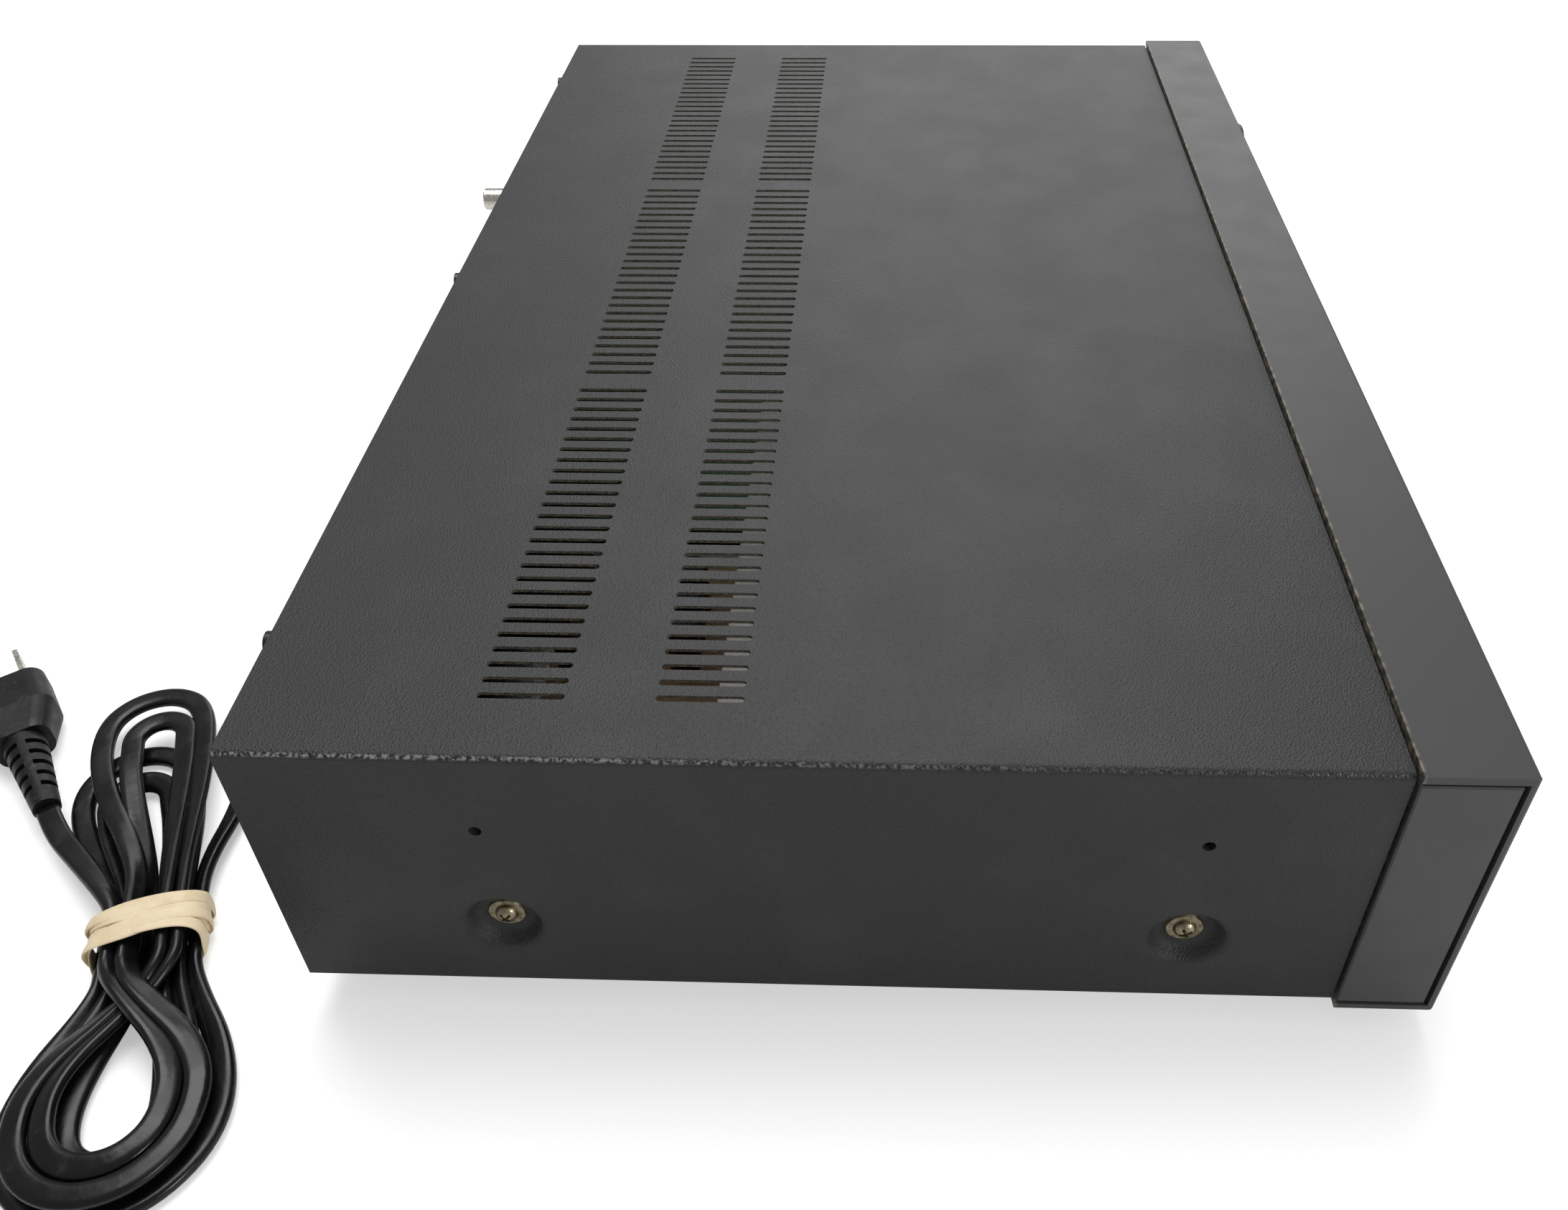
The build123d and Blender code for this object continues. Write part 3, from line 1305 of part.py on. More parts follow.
# Strain relief: flange inside the panel, ribbed taper outside
relief_plane = Plane(origin=(relief_x, panel_back, relief_z), x_dir=(1, 0, 0), z_dir=(0, 1, 0))
with BuildPart() as strain_relief:
    with BuildSketch(relief_plane):
        Circle(relief_radius)
    with BuildSketch(relief_plane.offset(relief_length)):
        Circle(relief_tip_radius)
    loft()
    post(relief_plane, relief_radius, -chassis_sheet - 4)
    post(relief_plane, relief_flange, 2.0)
    post(relief_plane.offset(-chassis_sheet), relief_flange, -2.0)
    for n in range(5):
        ring_plane = relief_plane.offset(5 + n * 3.2)
        with BuildSketch(ring_plane):
            Circle(relief_radius + 1)
            Circle(relief_tip_radius - 0.3, mode=Mode.SUBTRACT)
            Rectangle(2.6, 20, mode=Mode.SUBTRACT)
        extrude(amount=1.2, mode=Mode.SUBTRACT)
finish(strain_relief, "strain_relief")

# Mains cord: free stretch from the strain relief to the tied hank
waist_y = rear_y + waist_from_rear
cord_radius = cord_diameter / 2
waist_z = band_thickness + cord_radius
along = Vector(math.cos(math.radians(waist_degrees)), math.sin(math.radians(waist_degrees)), 0)
aside = Vector(-along.Y, along.X, 0)
waist = Vector(waist_x, waist_y, 0)
strand_half = band_width / 2 + 1.5


def waist_point(forward, sideways, height):
    """Place in the tied waist: along its strands, across them, and up."""
    return waist + along * forward + aside * sideways + Vector(0, 0, height)


right_strands = [-3.0, -2.0, -1.0, -1.0, -2.0]
left_strands = [2.5, 1.5, 0.5, 1.5, 2.5]
strand_layers = [0, 0, 0, 1, 1]


def strand_z(layer):
    """Height of a strand's middle in the waist, by layer."""
    return waist_z + layer * cord_spacing


def round_route(points):
    """Runs joined by the widest tangent arcs that the runs allow; prints the radii."""
    radii = []
    for before, corner, after in zip(points, points[1:], points[2:]):
        first = Vector(corner) - Vector(before)
        second = Vector(after) - Vector(corner)
        turn = math.radians(first.get_angle(second))
        radii.append(0.45 * min(first.length, second.length) / math.tan(turn / 2))
    print("radii", [round(r, 1) for r in radii])
    return FilletPolyline(*points, radius=radii)


cord_start = Vector(relief_x, panel_back + relief_length, relief_z)
hank_start = waist_point(strand_half, right_strands[0] * cord_spacing, strand_z(0))
cord_route = [
    tuple(cord_start),
    (relief_x, rear_y + 35.5, relief_z),
    (relief_x - 6, rear_y + 49.5, 20.5),
    (relief_x - 18.5, rear_y + 57.5, 14.5),
    (relief_x - 33.5, rear_y + 57.8, 8.5),
    (relief_x - 49, rear_y + 52.4, 4.2),
    (relief_x - 66, rear_y + 46.6, 3.1),
    tuple(hank_start + along * 15),
    tuple(hank_start),
]
with BuildPart() as mains_cord:
    with BuildLine() as cord_line:
        round_route(cord_route)
    with BuildSketch(Plane(origin=cord_start, z_dir=cord_line.wire() % 0)):
        Circle(cord_radius)
    sweep(path=cord_line.wire())
finish(mains_cord, "mains_cord")
print("mains_cord length", round(cord_line.wire().length, 1))


def biarc(start, start_way, end, end_way):
    """Two tangent arcs that join two places with their directions."""
    span = end - start
    spread = 1 - start_way.dot(end_way)
    ways = start_way + end_way
    if spread < 1e-6:
        reach = span.dot(span) / (4 * span.dot(end_way))
    else:
        reach = (math.sqrt(span.dot(ways) ** 2 + 2 * spread * span.dot(span)) - span.dot(ways)) / (2 * spread)
    middle = (start + end + (start_way - end_way) * reach) * 0.5
    first = TangentArc(tuple(start), tuple(middle), tangent=tuple(start_way))
    TangentArc(tuple(middle), tuple(end), tangent=tuple(first % 1))


def lobe(angle_degrees, length, half_width, height):
    """Both sides of one end loop, each a place and a direction, before and after its tip."""
    angle = math.radians(angle_degrees)
    way = Vector(math.cos(angle), math.sin(angle), 0)
    across_way = Vector(-way.Y, way.X, 0)
    centre = waist + way * (length - half_width) + Vector(0, 0, height)
    return [(centre + across_way * half_width, way), (centre - across_way * half_width, way * -1)]


# Tied hank: loops through the waist; each end loop has its direction, reach and half width
lower_loops = 5
lower_angle = 180 + 14.0
upper_angles = [27.0, 26.5, 20.0, 21.5]
upper_lengths = [72.0, 60.0, 79.5, 91.0]
upper_half_widths = [15.2, 8.4, 7.6, 14.6]
upper_layers = [0, 0, 1.08, 1]
lower_lengths = [74.0, 68.0, 62.0, 65.0, 71.5]
lower_half_widths = [24.5, 17.6, 10.8, 14.0, 20.5]


def floor_height(layer):
    """Height of a loop's middle where it lies past the band, by layer."""
    return cord_radius + layer * cord_spacing


with BuildPart() as cord_hank:
    with BuildLine() as hank_line:
        place = hank_start
        for n in range(lower_loops):
            here = strand_z(strand_layers[n])
            lying = floor_height(strand_layers[n])
            down = waist_point(-strand_half, right_strands[n] * cord_spacing, here)
            Line(tuple(place), tuple(down))
            up = waist_point(-strand_half, left_strands[n] * cord_spacing, here)
            nodes = lobe(lower_angle, lower_lengths[n], lower_half_widths[n], lying)
            biarc(down, along * -1, *nodes[0])
            biarc(*nodes[0], *nodes[1])
            biarc(*nodes[1], up, along)
            place = waist_point(strand_half, left_strands[n] * cord_spacing, here)
            Line(tuple(up), tuple(place))
            if n < lower_loops - 1:
                lying = floor_height(upper_layers[n])
                back = waist_point(strand_half, right_strands[n + 1] * cord_spacing, strand_z(strand_layers[n + 1]))
                nodes = lobe(upper_angles[n], upper_lengths[n], upper_half_widths[n], lying)
                biarc(place, along, *nodes[0])
                biarc(*nodes[0], *nodes[1])
                biarc(*nodes[1], back, along * -1)
                place = back
    with BuildSketch(Plane(origin=hank_start, z_dir=along * -1)):
        Circle(cord_radius)
    sweep(path=hank_line.wire())
finish(cord_hank, "cord_hank")
hank_wire = hank_line.wire()
hank_length = hank_wire.length
print("cord_hank length", round(hank_length, 1))
steps = int(hank_length / 2.0)
places = [hank_wire @ (n / steps) for n in range(steps + 1)]
least = min(
    (places[a] - places[b]).length for a in range(len(places)) for b in range(a + 8, len(places))
)
print("cord_hank least gap", round(least - cord_diameter, 2))
print("cord_hank volume share", round(cord_hank.part.volume / (math.pi * cord_radius**2 * hank_length), 4))

# Rubber band round the waist: a flat ring, rounded at its sides
band_inner_half = cord_spacing * 2.75 + cord_radius + 0.15
band_inner_top = strand_z(1) + cord_radius + 0.15
band_middle = waist + aside * (-0.25 * cord_spacing)
band_plane = Plane(origin=band_middle - along * (band_width / 2), x_dir=aside, z_dir=along)
with BuildPart() as rubber_band:
    with BuildSketch(band_plane):
        with Locations((0, band_inner_top / 2 + band_thickness / 2)):
            RectangleRounded(
                2 * (band_inner_half + band_thickness),
                band_inner_top + band_thickness,
                cord_diameter * 0.7,
            )
            RectangleRounded(
                2 * band_inner_half,
                band_inner_top - band_thickness,
                cord_diameter * 0.7 - band_thickness,
                mode=Mode.SUBTRACT,
            )
    extrude(amount=band_width)
finish(rubber_band, "rubber_band")

# Plug at the far end: lead, ribbed relief and body, two flat blades
plug_z = plug_thickness / 2
plug_tail = Vector(waist_x + 40, waist_y + 46, plug_z)
plug_way = Vector(math.cos(math.radians(38)), math.sin(math.radians(38)), 0)
lead_start = waist_point(strand_half, left_strands[-1] * cord_spacing, strand_z(1))
lead_route = [
    tuple(lead_start),
    tuple(lead_start + along * 11),
    tuple(lead_start + along * 21.5 + aside * 4.5 - Vector(0, 0, 0.1)),
    tuple(plug_tail - plug_way * 11),
    tuple(plug_tail),
]
with BuildPart() as plug_lead:
    with BuildLine() as lead_line:
        round_route(lead_route)
    with BuildSketch(Plane(origin=lead_start, z_dir=lead_line.wire() % 0)):
        Circle(cord_radius)
    sweep(path=lead_line.wire())
finish(plug_lead, "plug_lead")
print("plug_lead length", round(lead_line.wire().length, 1))

plug_plane = Plane(origin=plug_tail, x_dir=Vector(plug_way.Y, -plug_way.X, 0), z_dir=plug_way)
with BuildPart() as plug_body:
    with BuildSketch(plug_plane):
        Circle(plug_relief_tip)
    with BuildSketch(plug_plane.offset(plug_relief_length)):
        Circle(plug_relief_radius)
    loft()
    for n in range(5):
        with BuildSketch(plug_plane.offset(6 + n * 4.6)) as plug_slots:
            Circle(plug_relief_radius + 1)
            Circle(plug_relief_tip - 0.6, mode=Mode.SUBTRACT)
            Rectangle(2.4, 20, mode=Mode.SUBTRACT)
        extrude(amount=1.8, mode=Mode.SUBTRACT)
    with BuildSketch(plug_plane.offset(plug_relief_length)):
        RectangleRounded(plug_width * 0.66, plug_thickness * 0.8, 4.5)
    with BuildSketch(plug_plane.offset(plug_relief_length + plug_length * 0.45)):
        RectangleRounded(plug_width, plug_thickness, 5.0)
    loft()
    with BuildSketch(plug_plane.offset(plug_relief_length + plug_length * 0.45)):
        RectangleRounded(plug_width, plug_thickness, 5.0)
    extrude(amount=plug_length * 0.55)
finish(plug_body, "plug_body")

with BuildPart() as plug_blades:
    with BuildSketch(plug_plane.offset(plug_relief_length + plug_length)):
        with Locations((-blade_spacing / 2, 0), (blade_spacing / 2, 0)):
            Rectangle(blade_thickness, blade_width)
    extrude(amount=blade_length)
finish(plug_blades, "plug_blades")
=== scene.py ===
import math

import bmesh
import bpy
from mathutils import Matrix, Vector


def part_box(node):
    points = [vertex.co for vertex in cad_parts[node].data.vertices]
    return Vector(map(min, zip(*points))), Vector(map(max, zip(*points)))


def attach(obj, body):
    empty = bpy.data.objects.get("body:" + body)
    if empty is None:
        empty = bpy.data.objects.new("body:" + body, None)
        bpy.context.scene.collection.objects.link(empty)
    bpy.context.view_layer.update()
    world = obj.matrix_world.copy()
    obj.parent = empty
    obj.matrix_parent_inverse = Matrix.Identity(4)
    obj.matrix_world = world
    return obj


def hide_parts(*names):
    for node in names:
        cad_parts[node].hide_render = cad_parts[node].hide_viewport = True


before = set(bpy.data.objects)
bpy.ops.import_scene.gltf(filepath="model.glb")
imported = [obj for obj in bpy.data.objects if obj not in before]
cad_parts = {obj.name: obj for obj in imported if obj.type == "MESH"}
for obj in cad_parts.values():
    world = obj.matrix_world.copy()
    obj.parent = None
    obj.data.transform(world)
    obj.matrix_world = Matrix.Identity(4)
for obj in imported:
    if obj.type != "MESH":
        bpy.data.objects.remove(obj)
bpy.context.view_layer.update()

# Camera: above the left end and level with the middle of the case,
# looking across the cover to its right end.
def in_scene(name, data):
    """A new object that holds this data, linked to the scene."""
    thing = bpy.data.objects.new(name, data)
    bpy.context.scene.collection.objects.link(thing)
    return thing


camera_data = bpy.data.cameras.new("camera")
camera_data.sensor_width = 36.0
camera_data.lens = 31.146
camera_data.shift_x = -0.0403
camera_data.shift_y = -0.0278
camera_data.clip_end = 30.0
camera = in_scene("camera", camera_data)
right_way = Vector((0.0348, -0.9993, -0.0112))
up_way = Vector((0.6452, 0.0139, 0.7639))
back_way = Vector((-0.7633, -0.0339, 0.6452))
camera_place = Matrix.Translation((-0.408, -0.00545, 0.3128))
camera.matrix_world = camera_place @ Matrix((right_way, up_way, back_way)).transposed().to_4x4()
bpy.context.scene.camera = camera


# Mains cord: flat twin vinyl lead, smooth and semi-gloss, moulded in one with its plug.
# It leaves the strain relief, drops to the table and lies in a hank that a rubber band holds.
def shader_of(material):
    """The shader that holds the material's colour, roughness and relief."""
    return material.node_tree.nodes["Principled BSDF"]


def surface(name, colour, roughness, metallic=0.0, **more):
    """A material with its own shader; more sets other inputs, with underscores for spaces."""
    material = bpy.data.materials.new(name)
    material.use_nodes = True
    shader = shader_of(material)
    shader.inputs["Base Color"].default_value = (*colour, 1)
    shader.inputs["Roughness"].default_value = roughness
    shader.inputs["Metallic"].default_value = metallic
    for entry, number in more.items():
        shader.inputs[entry.replace("_", " ")].default_value = number
    return material


def place_on(material, stretch=(1, 1, 1)):
    """The piece's own coordinates in millimetres, stretched where a pattern runs one way."""
    tree = material.node_tree
    where = tree.nodes.new("ShaderNodeTexCoord")
    mapping = tree.nodes.new("ShaderNodeMapping")
    mapping.inputs["Scale"].default_value = tuple(1000 * s for s in stretch)
    tree.links.new(where.outputs["Object"], mapping.inputs["Vector"])
    return mapping.outputs["Vector"]


def grain(material, size, detail, stretch=(1, 1, 1)):
    """Soft random pattern whose features are about this many millimetres across."""
    noise = material.node_tree.nodes.new("ShaderNodeTexNoise")
    noise.inputs["Scale"].default_value = 1 / size
    noise.inputs["Detail"].default_value = detail
    material.node_tree.links.new(place_on(material, stretch), noise.inputs["Vector"])
    return noise.outputs["Fac"]


def between(material, value, low, high, out_low=0.0, out_high=1.0):
    """Spread the part of a value from low to high over another range."""
    spread = material.node_tree.nodes.new("ShaderNodeMapRange")
    spread.interpolation_type = "SMOOTHSTEP"
    ends = {"From Min": low, "From Max": high, "To Min": out_low, "To Max": out_high}
    for name, number in ends.items():
        spread.inputs[name].default_value = number
    material.node_tree.links.new(value, spread.inputs["Value"])
    return spread.outputs["Result"]


def relief(material, height, depth):
    """Bump of this depth in millimetres, laid over any bump that is there already."""
    tree = material.node_tree
    normal = shader_of(material).inputs["Normal"]
    bump = tree.nodes.new("ShaderNodeBump")
    bump.inputs["Strength"].default_value = 1.0
    bump.inputs["Distance"].default_value = depth / 1000
    tree.links.new(height, bump.inputs["Height"])
    if normal.is_linked:
        tree.links.new(normal.links[0].from_socket, bump.inputs["Normal"])
    tree.links.new(bump.outputs["Normal"], normal)


def emboss(material, size, detail, depth, stretch=(1, 1, 1)):
    """Relief of this depth in millimetres from grain of this size."""
    relief(material, grain(material, size, detail, stretch), depth)


def blend_colour(material, share, colour):
    """Lay another colour over the base colour by a share from 0 to 1."""
    tree = material.node_tree
    base = shader_of(material).inputs["Base Color"]
    mix = tree.nodes.new("ShaderNodeMix")
    mix.data_type = "RGBA"
    if base.is_linked:
        tree.links.new(base.links[0].from_socket, mix.inputs["A"])
    else:
        mix.inputs["A"].default_value = base.default_value
    mix.inputs["B"].default_value = (*colour, 1)
    tree.links.new(share, mix.inputs["Factor"])
    tree.links.new(mix.outputs["Result"], base)


def mottle(material, colour, size, detail, span, share, stretch=(1, 1, 1)):
    """Patches of another colour, up to this share, where grain of this size rises through a span."""
    patches = between(material, grain(material, size, detail, stretch), *span, 0.0, share)
    blend_colour(material, patches, colour)


def wear(material, size, detail, low, high, stretch=(1, 1, 1)):
    """Roughness that wanders from low to high with grain of this size."""
    usual_grain = (0.3, 0.7)
    worn = between(material, grain(material, size, detail, stretch), *usual_grain, low, high)
    material.node_tree.links.new(worn, shader_of(material).inputs["Roughness"])


def dress(material, *names):
    """Give solids of the frame this material."""
    for name in names:
        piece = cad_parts[name]
        piece.data.materials.clear()
        piece.data.materials.append(material)


cord_vinyl = surface(
    "cord_vinyl",
    (0.005, 0.005, 0.006),
    roughness=0.28,
    Coat_Weight=0.10,
    Coat_Roughness=0.2,
    Specular_IOR_Level=0.30,
)
wear(cord_vinyl, size=9.0, detail=4.0, low=0.20, high=0.36)
mottle(cord_vinyl, (0.06, 0.057, 0.050), size=5.0, detail=6.0, span=(0.60, 0.78), share=0.30)
emboss(cord_vinyl, size=3.0, detail=2.0, depth=0.08)


def heading(degrees):
    """A level direction, turned this far from the object's right towards its rear."""
    turn = math.radians(degrees)
    return Vector((math.cos(turn), math.sin(turn), 0))


def upwards(height):
    """A step straight up."""
    return Vector((0, 0, height))


strand_width = 0.0063
strand_thickness = 0.0034
waist = Vector((-0.203, 0.19175, 0.0))
along = heading(18)
aside = Vector((-along.y, along.x, 0))
waist_half = 0.006
waist_lean = 60
waist_clearance = 0.0001
waist_layer_step = 0.0055
right_strands = [-0.0120, -0.0080, -0.0040, -0.0049, -0.0089]
left_strands = [0.0100, 0.0060, 0.0020, 0.0029, 0.0069]
strand_layers = [0, 0, 0, 1, 1]
upper_loops = [
    # angle, length, half width, height in layers, lean
    (27.0, 0.0720, 0.0152, 0, 4),
    (26.5, 0.0600, 0.0084, 0, 30),
    (20.0, 0.0795, 0.0076, 1.08, 8),
    (21.5, 0.0910, 0.0146, 1, 3),
]
lower_loops = [
    (194.0, 0.0740, 0.0245, 0, 6),
    (194.0, 0.0680, 0.0176, 0, 44),
    (194.0, 0.0620, 0.0108, 0, 14),
    (194.0, 0.0715, 0.0205, 1, 12),
    (194.0, 0.0650, 0.0140, 1, 26),
]


def half_height(lean):
    """Half the height of the flat cord when it is turned this far up from lying flat."""
    lifted = math.radians(lean)
    return (strand_width * abs(math.sin(lifted)) + strand_thickness * abs(math.cos(lifted))) / 2


def in_waist(forward, sideways, layer):
    """A place where the band holds the strands."""
    height = half_height(waist_lean) + waist_clearance + layer * waist_layer_step
    return waist + along * forward + aside * sideways + upwards(height)


cord_points = [
    # each control point with the cord's lean there, in degrees
    ((-0.090, 0.16295, 0.0240), 0),
    ((-0.090, 0.17625, 0.0240), 0),
    ((-0.0945, 0.18550, 0.0205), 5),
    ((-0.1075, 0.18900, 0.0130), 15),
    ((-0.1235, 0.19000, 0.0066), 20),
    ((-0.139, 0.18830, 0.0034), 15),
    ((-0.156, 0.18500, 0.0031), 25),
    (in_waist(waist_half + 0.016, -0.0125, 0), 40),
    (in_waist(waist_half, right_strands[0], 0), waist_lean),
]

loop_clearance = 0.0003
loop_layer_step = 0.0051
run_to_shoulder = 4.4
shoulder_lean = 40
tip_lean_share = 0.6
octagon = 0.414
tip_corners = [(octagon, 1.0), (1.0, octagon), (1.0, -octagon), (octagon, -1.0)]
slim_corners = [(-octagon, 1.0), *tip_corners, (-octagon, -1.0)]
slim_from = 7
neck = 0.020
neck_exit = 0.006
neck_exit_lean = 52
under_inset, under_height, under_lean = 0.0080, 0.0062, 40
over_inset, over_height, over_lean = 0.0095, 0.0118, 30


def lay_loop(start, end, leave, loop, crossed=False):
    """Add the points of one end loop, from the waist round its tip and back to the waist."""
    angle, length, half_width, layers_up, lean = loop
    way = heading(angle)
    out = Vector((-way.y, way.x, 0)) * (-1 if crossed else 1)
    lift = upwards(loop_clearance + half_height(lean) + layers_up * loop_layer_step)
    centre = waist + way * (length - half_width) + lift
    first_side = centre + out * half_width
    last_side = centre - out * half_width
    first_span = (first_side - start).length / run_to_shoulder
    last_span = (last_side - end).length / run_to_shoulder
    way_out = [(start + leave * first_span, shoulder_lean)]
    way_back = [(end + leave * last_span, shoulder_lean)]
    if crossed:
        below = waist + leave * neck
        under = below + out * (0.5 * half_width - under_inset) + upwards(under_height)
        over = below - out * (0.5 * half_width - over_inset) + upwards(over_height)
        way_out = [(start + leave * neck_exit, neck_exit_lean), (under, under_lean)]
        way_back = [(over, over_lean), (end + leave * neck_exit, neck_exit_lean)]
    corners = slim_corners if length > slim_from * half_width else tip_corners
    cord_points.append((start, waist_lean))
    cord_points.extend(way_out)
    cord_points.append((first_side - way * first_span, lean))
    for forward, sideways in corners:
        corner_place = centre + (way * forward + out * sideways) * half_width
        cord_points.append((corner_place, lean * tip_lean_share))
    cord_points.append((last_side - way * last_span, lean))
    cord_points.extend(way_back)
    cord_points.append((end, waist_lean))


for n, lower in enumerate(lower_loops):
    layer = strand_layers[n]
    lower_start = in_waist(-waist_half, right_strands[n], layer)
    lower_end = in_waist(-waist_half, left_strands[n], layer)
    lay_loop(lower_start, lower_end, along * -1, lower, crossed=layer > 0)
    if n < len(upper_loops):
        upper_start = in_waist(waist_half, left_strands[n], layer)
        upper_end = in_waist(waist_half, right_strands[n + 1], strand_layers[n + 1])
        lay_loop(upper_start, upper_end, along, upper_loops[n])

plug_way = heading(38)
plug_tail = waist + Vector((0.040, 0.046, 0.008))
plug_straight = 0.011
cord_points += [
    (in_waist(waist_half, left_strands[-1], 1), waist_lean),
    (waist + along * 0.014 + aside * 0.0102 + upwards(0.0092), 40),
    (waist + along * 0.030 + aside * 0.0200 + upwards(0.0084), 15),
    (plug_tail - plug_way * plug_straight, 0),
    (plug_tail, 0),
]


def mesh_of(thing):
    """The thing's final shape as a plain mesh."""
    return bpy.data.meshes.new_from_object(thing.evaluated_get(bpy.context.evaluated_depsgraph_get()))


cord_curve = bpy.data.curves.new("cord_route", "CURVE")
cord_curve.dimensions = "3D"
cord_curve.resolution_u = 8
cord_curve.twist_mode = "Z_UP"
spline = cord_curve.splines.new("NURBS")
spline.points.add(len(cord_points) - 1)
for control, (place, lean) in zip(spline.points, cord_points):
    control.co = (*place, 1)
    control.tilt = math.radians(lean)
spline.use_endpoint_u = True
spline.order_u = 3
route_line = in_scene("cord_route", cord_curve)
cord_path = [tuple(v.co) for v in mesh_of(route_line).vertices]


def squared(value, power):
    """A sine or cosine that runs fuller, so that a circle made with it turns squarer."""
    return math.copysign(abs(value) ** power, value)


section_corners = 26
groove_depth = 0.05
groove_width = 0.22
flat_roundness = 0.75
thick_roundness = 0.7
section_curve = bpy.data.curves.new("cord_section", "CURVE")
section_curve.dimensions = "2D"
outline = section_curve.splines.new("POLY")
outline.points.add(section_corners - 1)
for n, corner in enumerate(outline.points):
    turn = 2 * math.pi * n / section_corners
    grooved = 1 - groove_depth * math.exp(-((math.cos(turn) / groove_width) ** 2))
    corner.co = (
        strand_width / 2 * squared(math.cos(turn), flat_roundness),
        strand_thickness / 2 * squared(math.sin(turn), thick_roundness) * grooved,
        0,
        1,
    )
outline.use_cyclic_u = True
section = in_scene("cord_section", section_curve)
cord_curve.bevel_mode = "OBJECT"
cord_curve.bevel_object = section
cord_curve.use_fill_caps = True
bpy.context.view_layer.update()
cord_mesh = mesh_of(route_line)
mains_lead = in_scene("mains_lead", cord_mesh)
bpy.data.objects.remove(route_line)
bpy.data.objects.remove(section)
cord_mesh.materials.clear()
cord_mesh.materials.append(cord_vinyl)


def face_out(mesh):
    """Merge doubles, turn all faces outwards and shade them smooth."""
    shape = bmesh.new()
    shape.from_mesh(mesh)
    bmesh.ops.remove_doubles(shape, verts=shape.verts, dist=1e-6)
    bmesh.ops.recalc_face_normals(shape, faces=shape.faces)
    for face in shape.faces:
        face.smooth = True
    shape.to_mesh(mesh)
    shape.free()


face_out(cord_mesh)
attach(mains_lead, "case")
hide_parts("mains_cord", "cord_hank", "plug_lead")

# Rubber band: natural rubber, stretched four times round the hank's waist,
# so that its flat turns lie skewed over each other and roll at their edges.
band_rubber = surface("band_rubber", (0.80, 0.67, 0.45), roughness=0.46)
mottle(band_rubber, (0.66, 0.50, 0.30), size=5.0, detail=4.0, span=(0.40, 0.7), share=0.45)
emboss(band_rubber, size=0.7, detail=2.0, depth=0.10, stretch=(1, 1, 0.4))
wear(band_rubber, size=3.0, detail=3.0, low=0.42, high=0.60)
band_half = 0.0151
band_height = 0.0146
band_middle = waist - aside * 0.0010
strip_half_thickness = 0.00055
strip_inset = 0.0011
strip_floor = 0.0001
squareness_above, squareness_below = 2.7, 5.0
strip_roundness = 0.6
strip_narrowing = 0.16
out_above = 0.6
band_steps = 72
strip_edges = 10
turns = [
    # along the strands, skew, start of the skew, width, how far out, roll
    (-0.0042, 0.0024, 0.3, 0.0056, 0.0000, 0.12),
    (-0.0012, -0.0026, 1.1, 0.0050, 0.0007, -0.30),
    (0.0022, 0.0020, 2.0, 0.0052, 0.0003, 0.35),
    (0.0046, -0.0014, 0.6, 0.0044, 0.0010, -0.20),
]


def strip_ring(shape, turn, shift, skew, start_turn, strip_width, out_by, roll):
    """The corners of one flat turn's section, this far round the hank."""
    power = squareness_above if math.sin(turn) > 0 else squareness_below
    reach = (abs(math.cos(turn)) ** power + abs(math.sin(turn)) ** power) ** (-1 / power)
    half_reach = band_height / 2 - strip_inset + out_by * out_above
    ring_middle = (
        band_middle
        + aside * math.cos(turn) * reach * (band_half - strip_inset + out_by)
        + upwards(band_height / 2 + math.sin(turn) * reach * half_reach)
        + along * (shift + skew * math.sin(turn + start_turn))
    )
    out_way = aside * math.cos(turn) + upwards(1) * math.sin(turn)
    twist = roll * math.sin(turn * 2 + start_turn)
    flat_way = along * math.cos(twist) + out_way * math.sin(twist)
    thick_way = out_way * math.cos(twist) - along * math.sin(twist)
    narrow = 1 - strip_narrowing * math.sin(turn * 3 + start_turn)
    ring = []
    for edge in range(strip_edges):
        corner = 2 * math.pi * edge / strip_edges
        flat_part = flat_way * squared(math.cos(corner), strip_roundness) * strip_width / 2 * narrow
        place = ring_middle + flat_part + thick_way * math.sin(corner) * strip_half_thickness
        place.z = max(place.z, strip_floor)
        ring.append(shape.verts.new(place))
    return ring


band_shape = bmesh.new()
for sizes in turns:
    rings = [strip_ring(band_shape, 2 * math.pi * n / band_steps, *sizes) for n in range(band_steps)]
    for this, following in zip(rings, rings[1:] + rings[:1]):
        for edge in range(strip_edges):
            onward = (edge + 1) % strip_edges
            band_shape.faces.new((this[edge], this[onward], following[onward], following[edge]))
band_mesh = bpy.data.meshes.new("band_turns")
band_shape.to_mesh(band_mesh)
band_shape.free()
face_out(band_mesh)
band_mesh.materials.append(band_rubber)
band_turns = in_scene("band_turns", band_mesh)
smooth_band = band_turns.modifiers.new("smooth", "SUBSURF")
smooth_band.levels = 1
smooth_band.render_levels = 1
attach(band_turns, "case")
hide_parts("rubber_band")

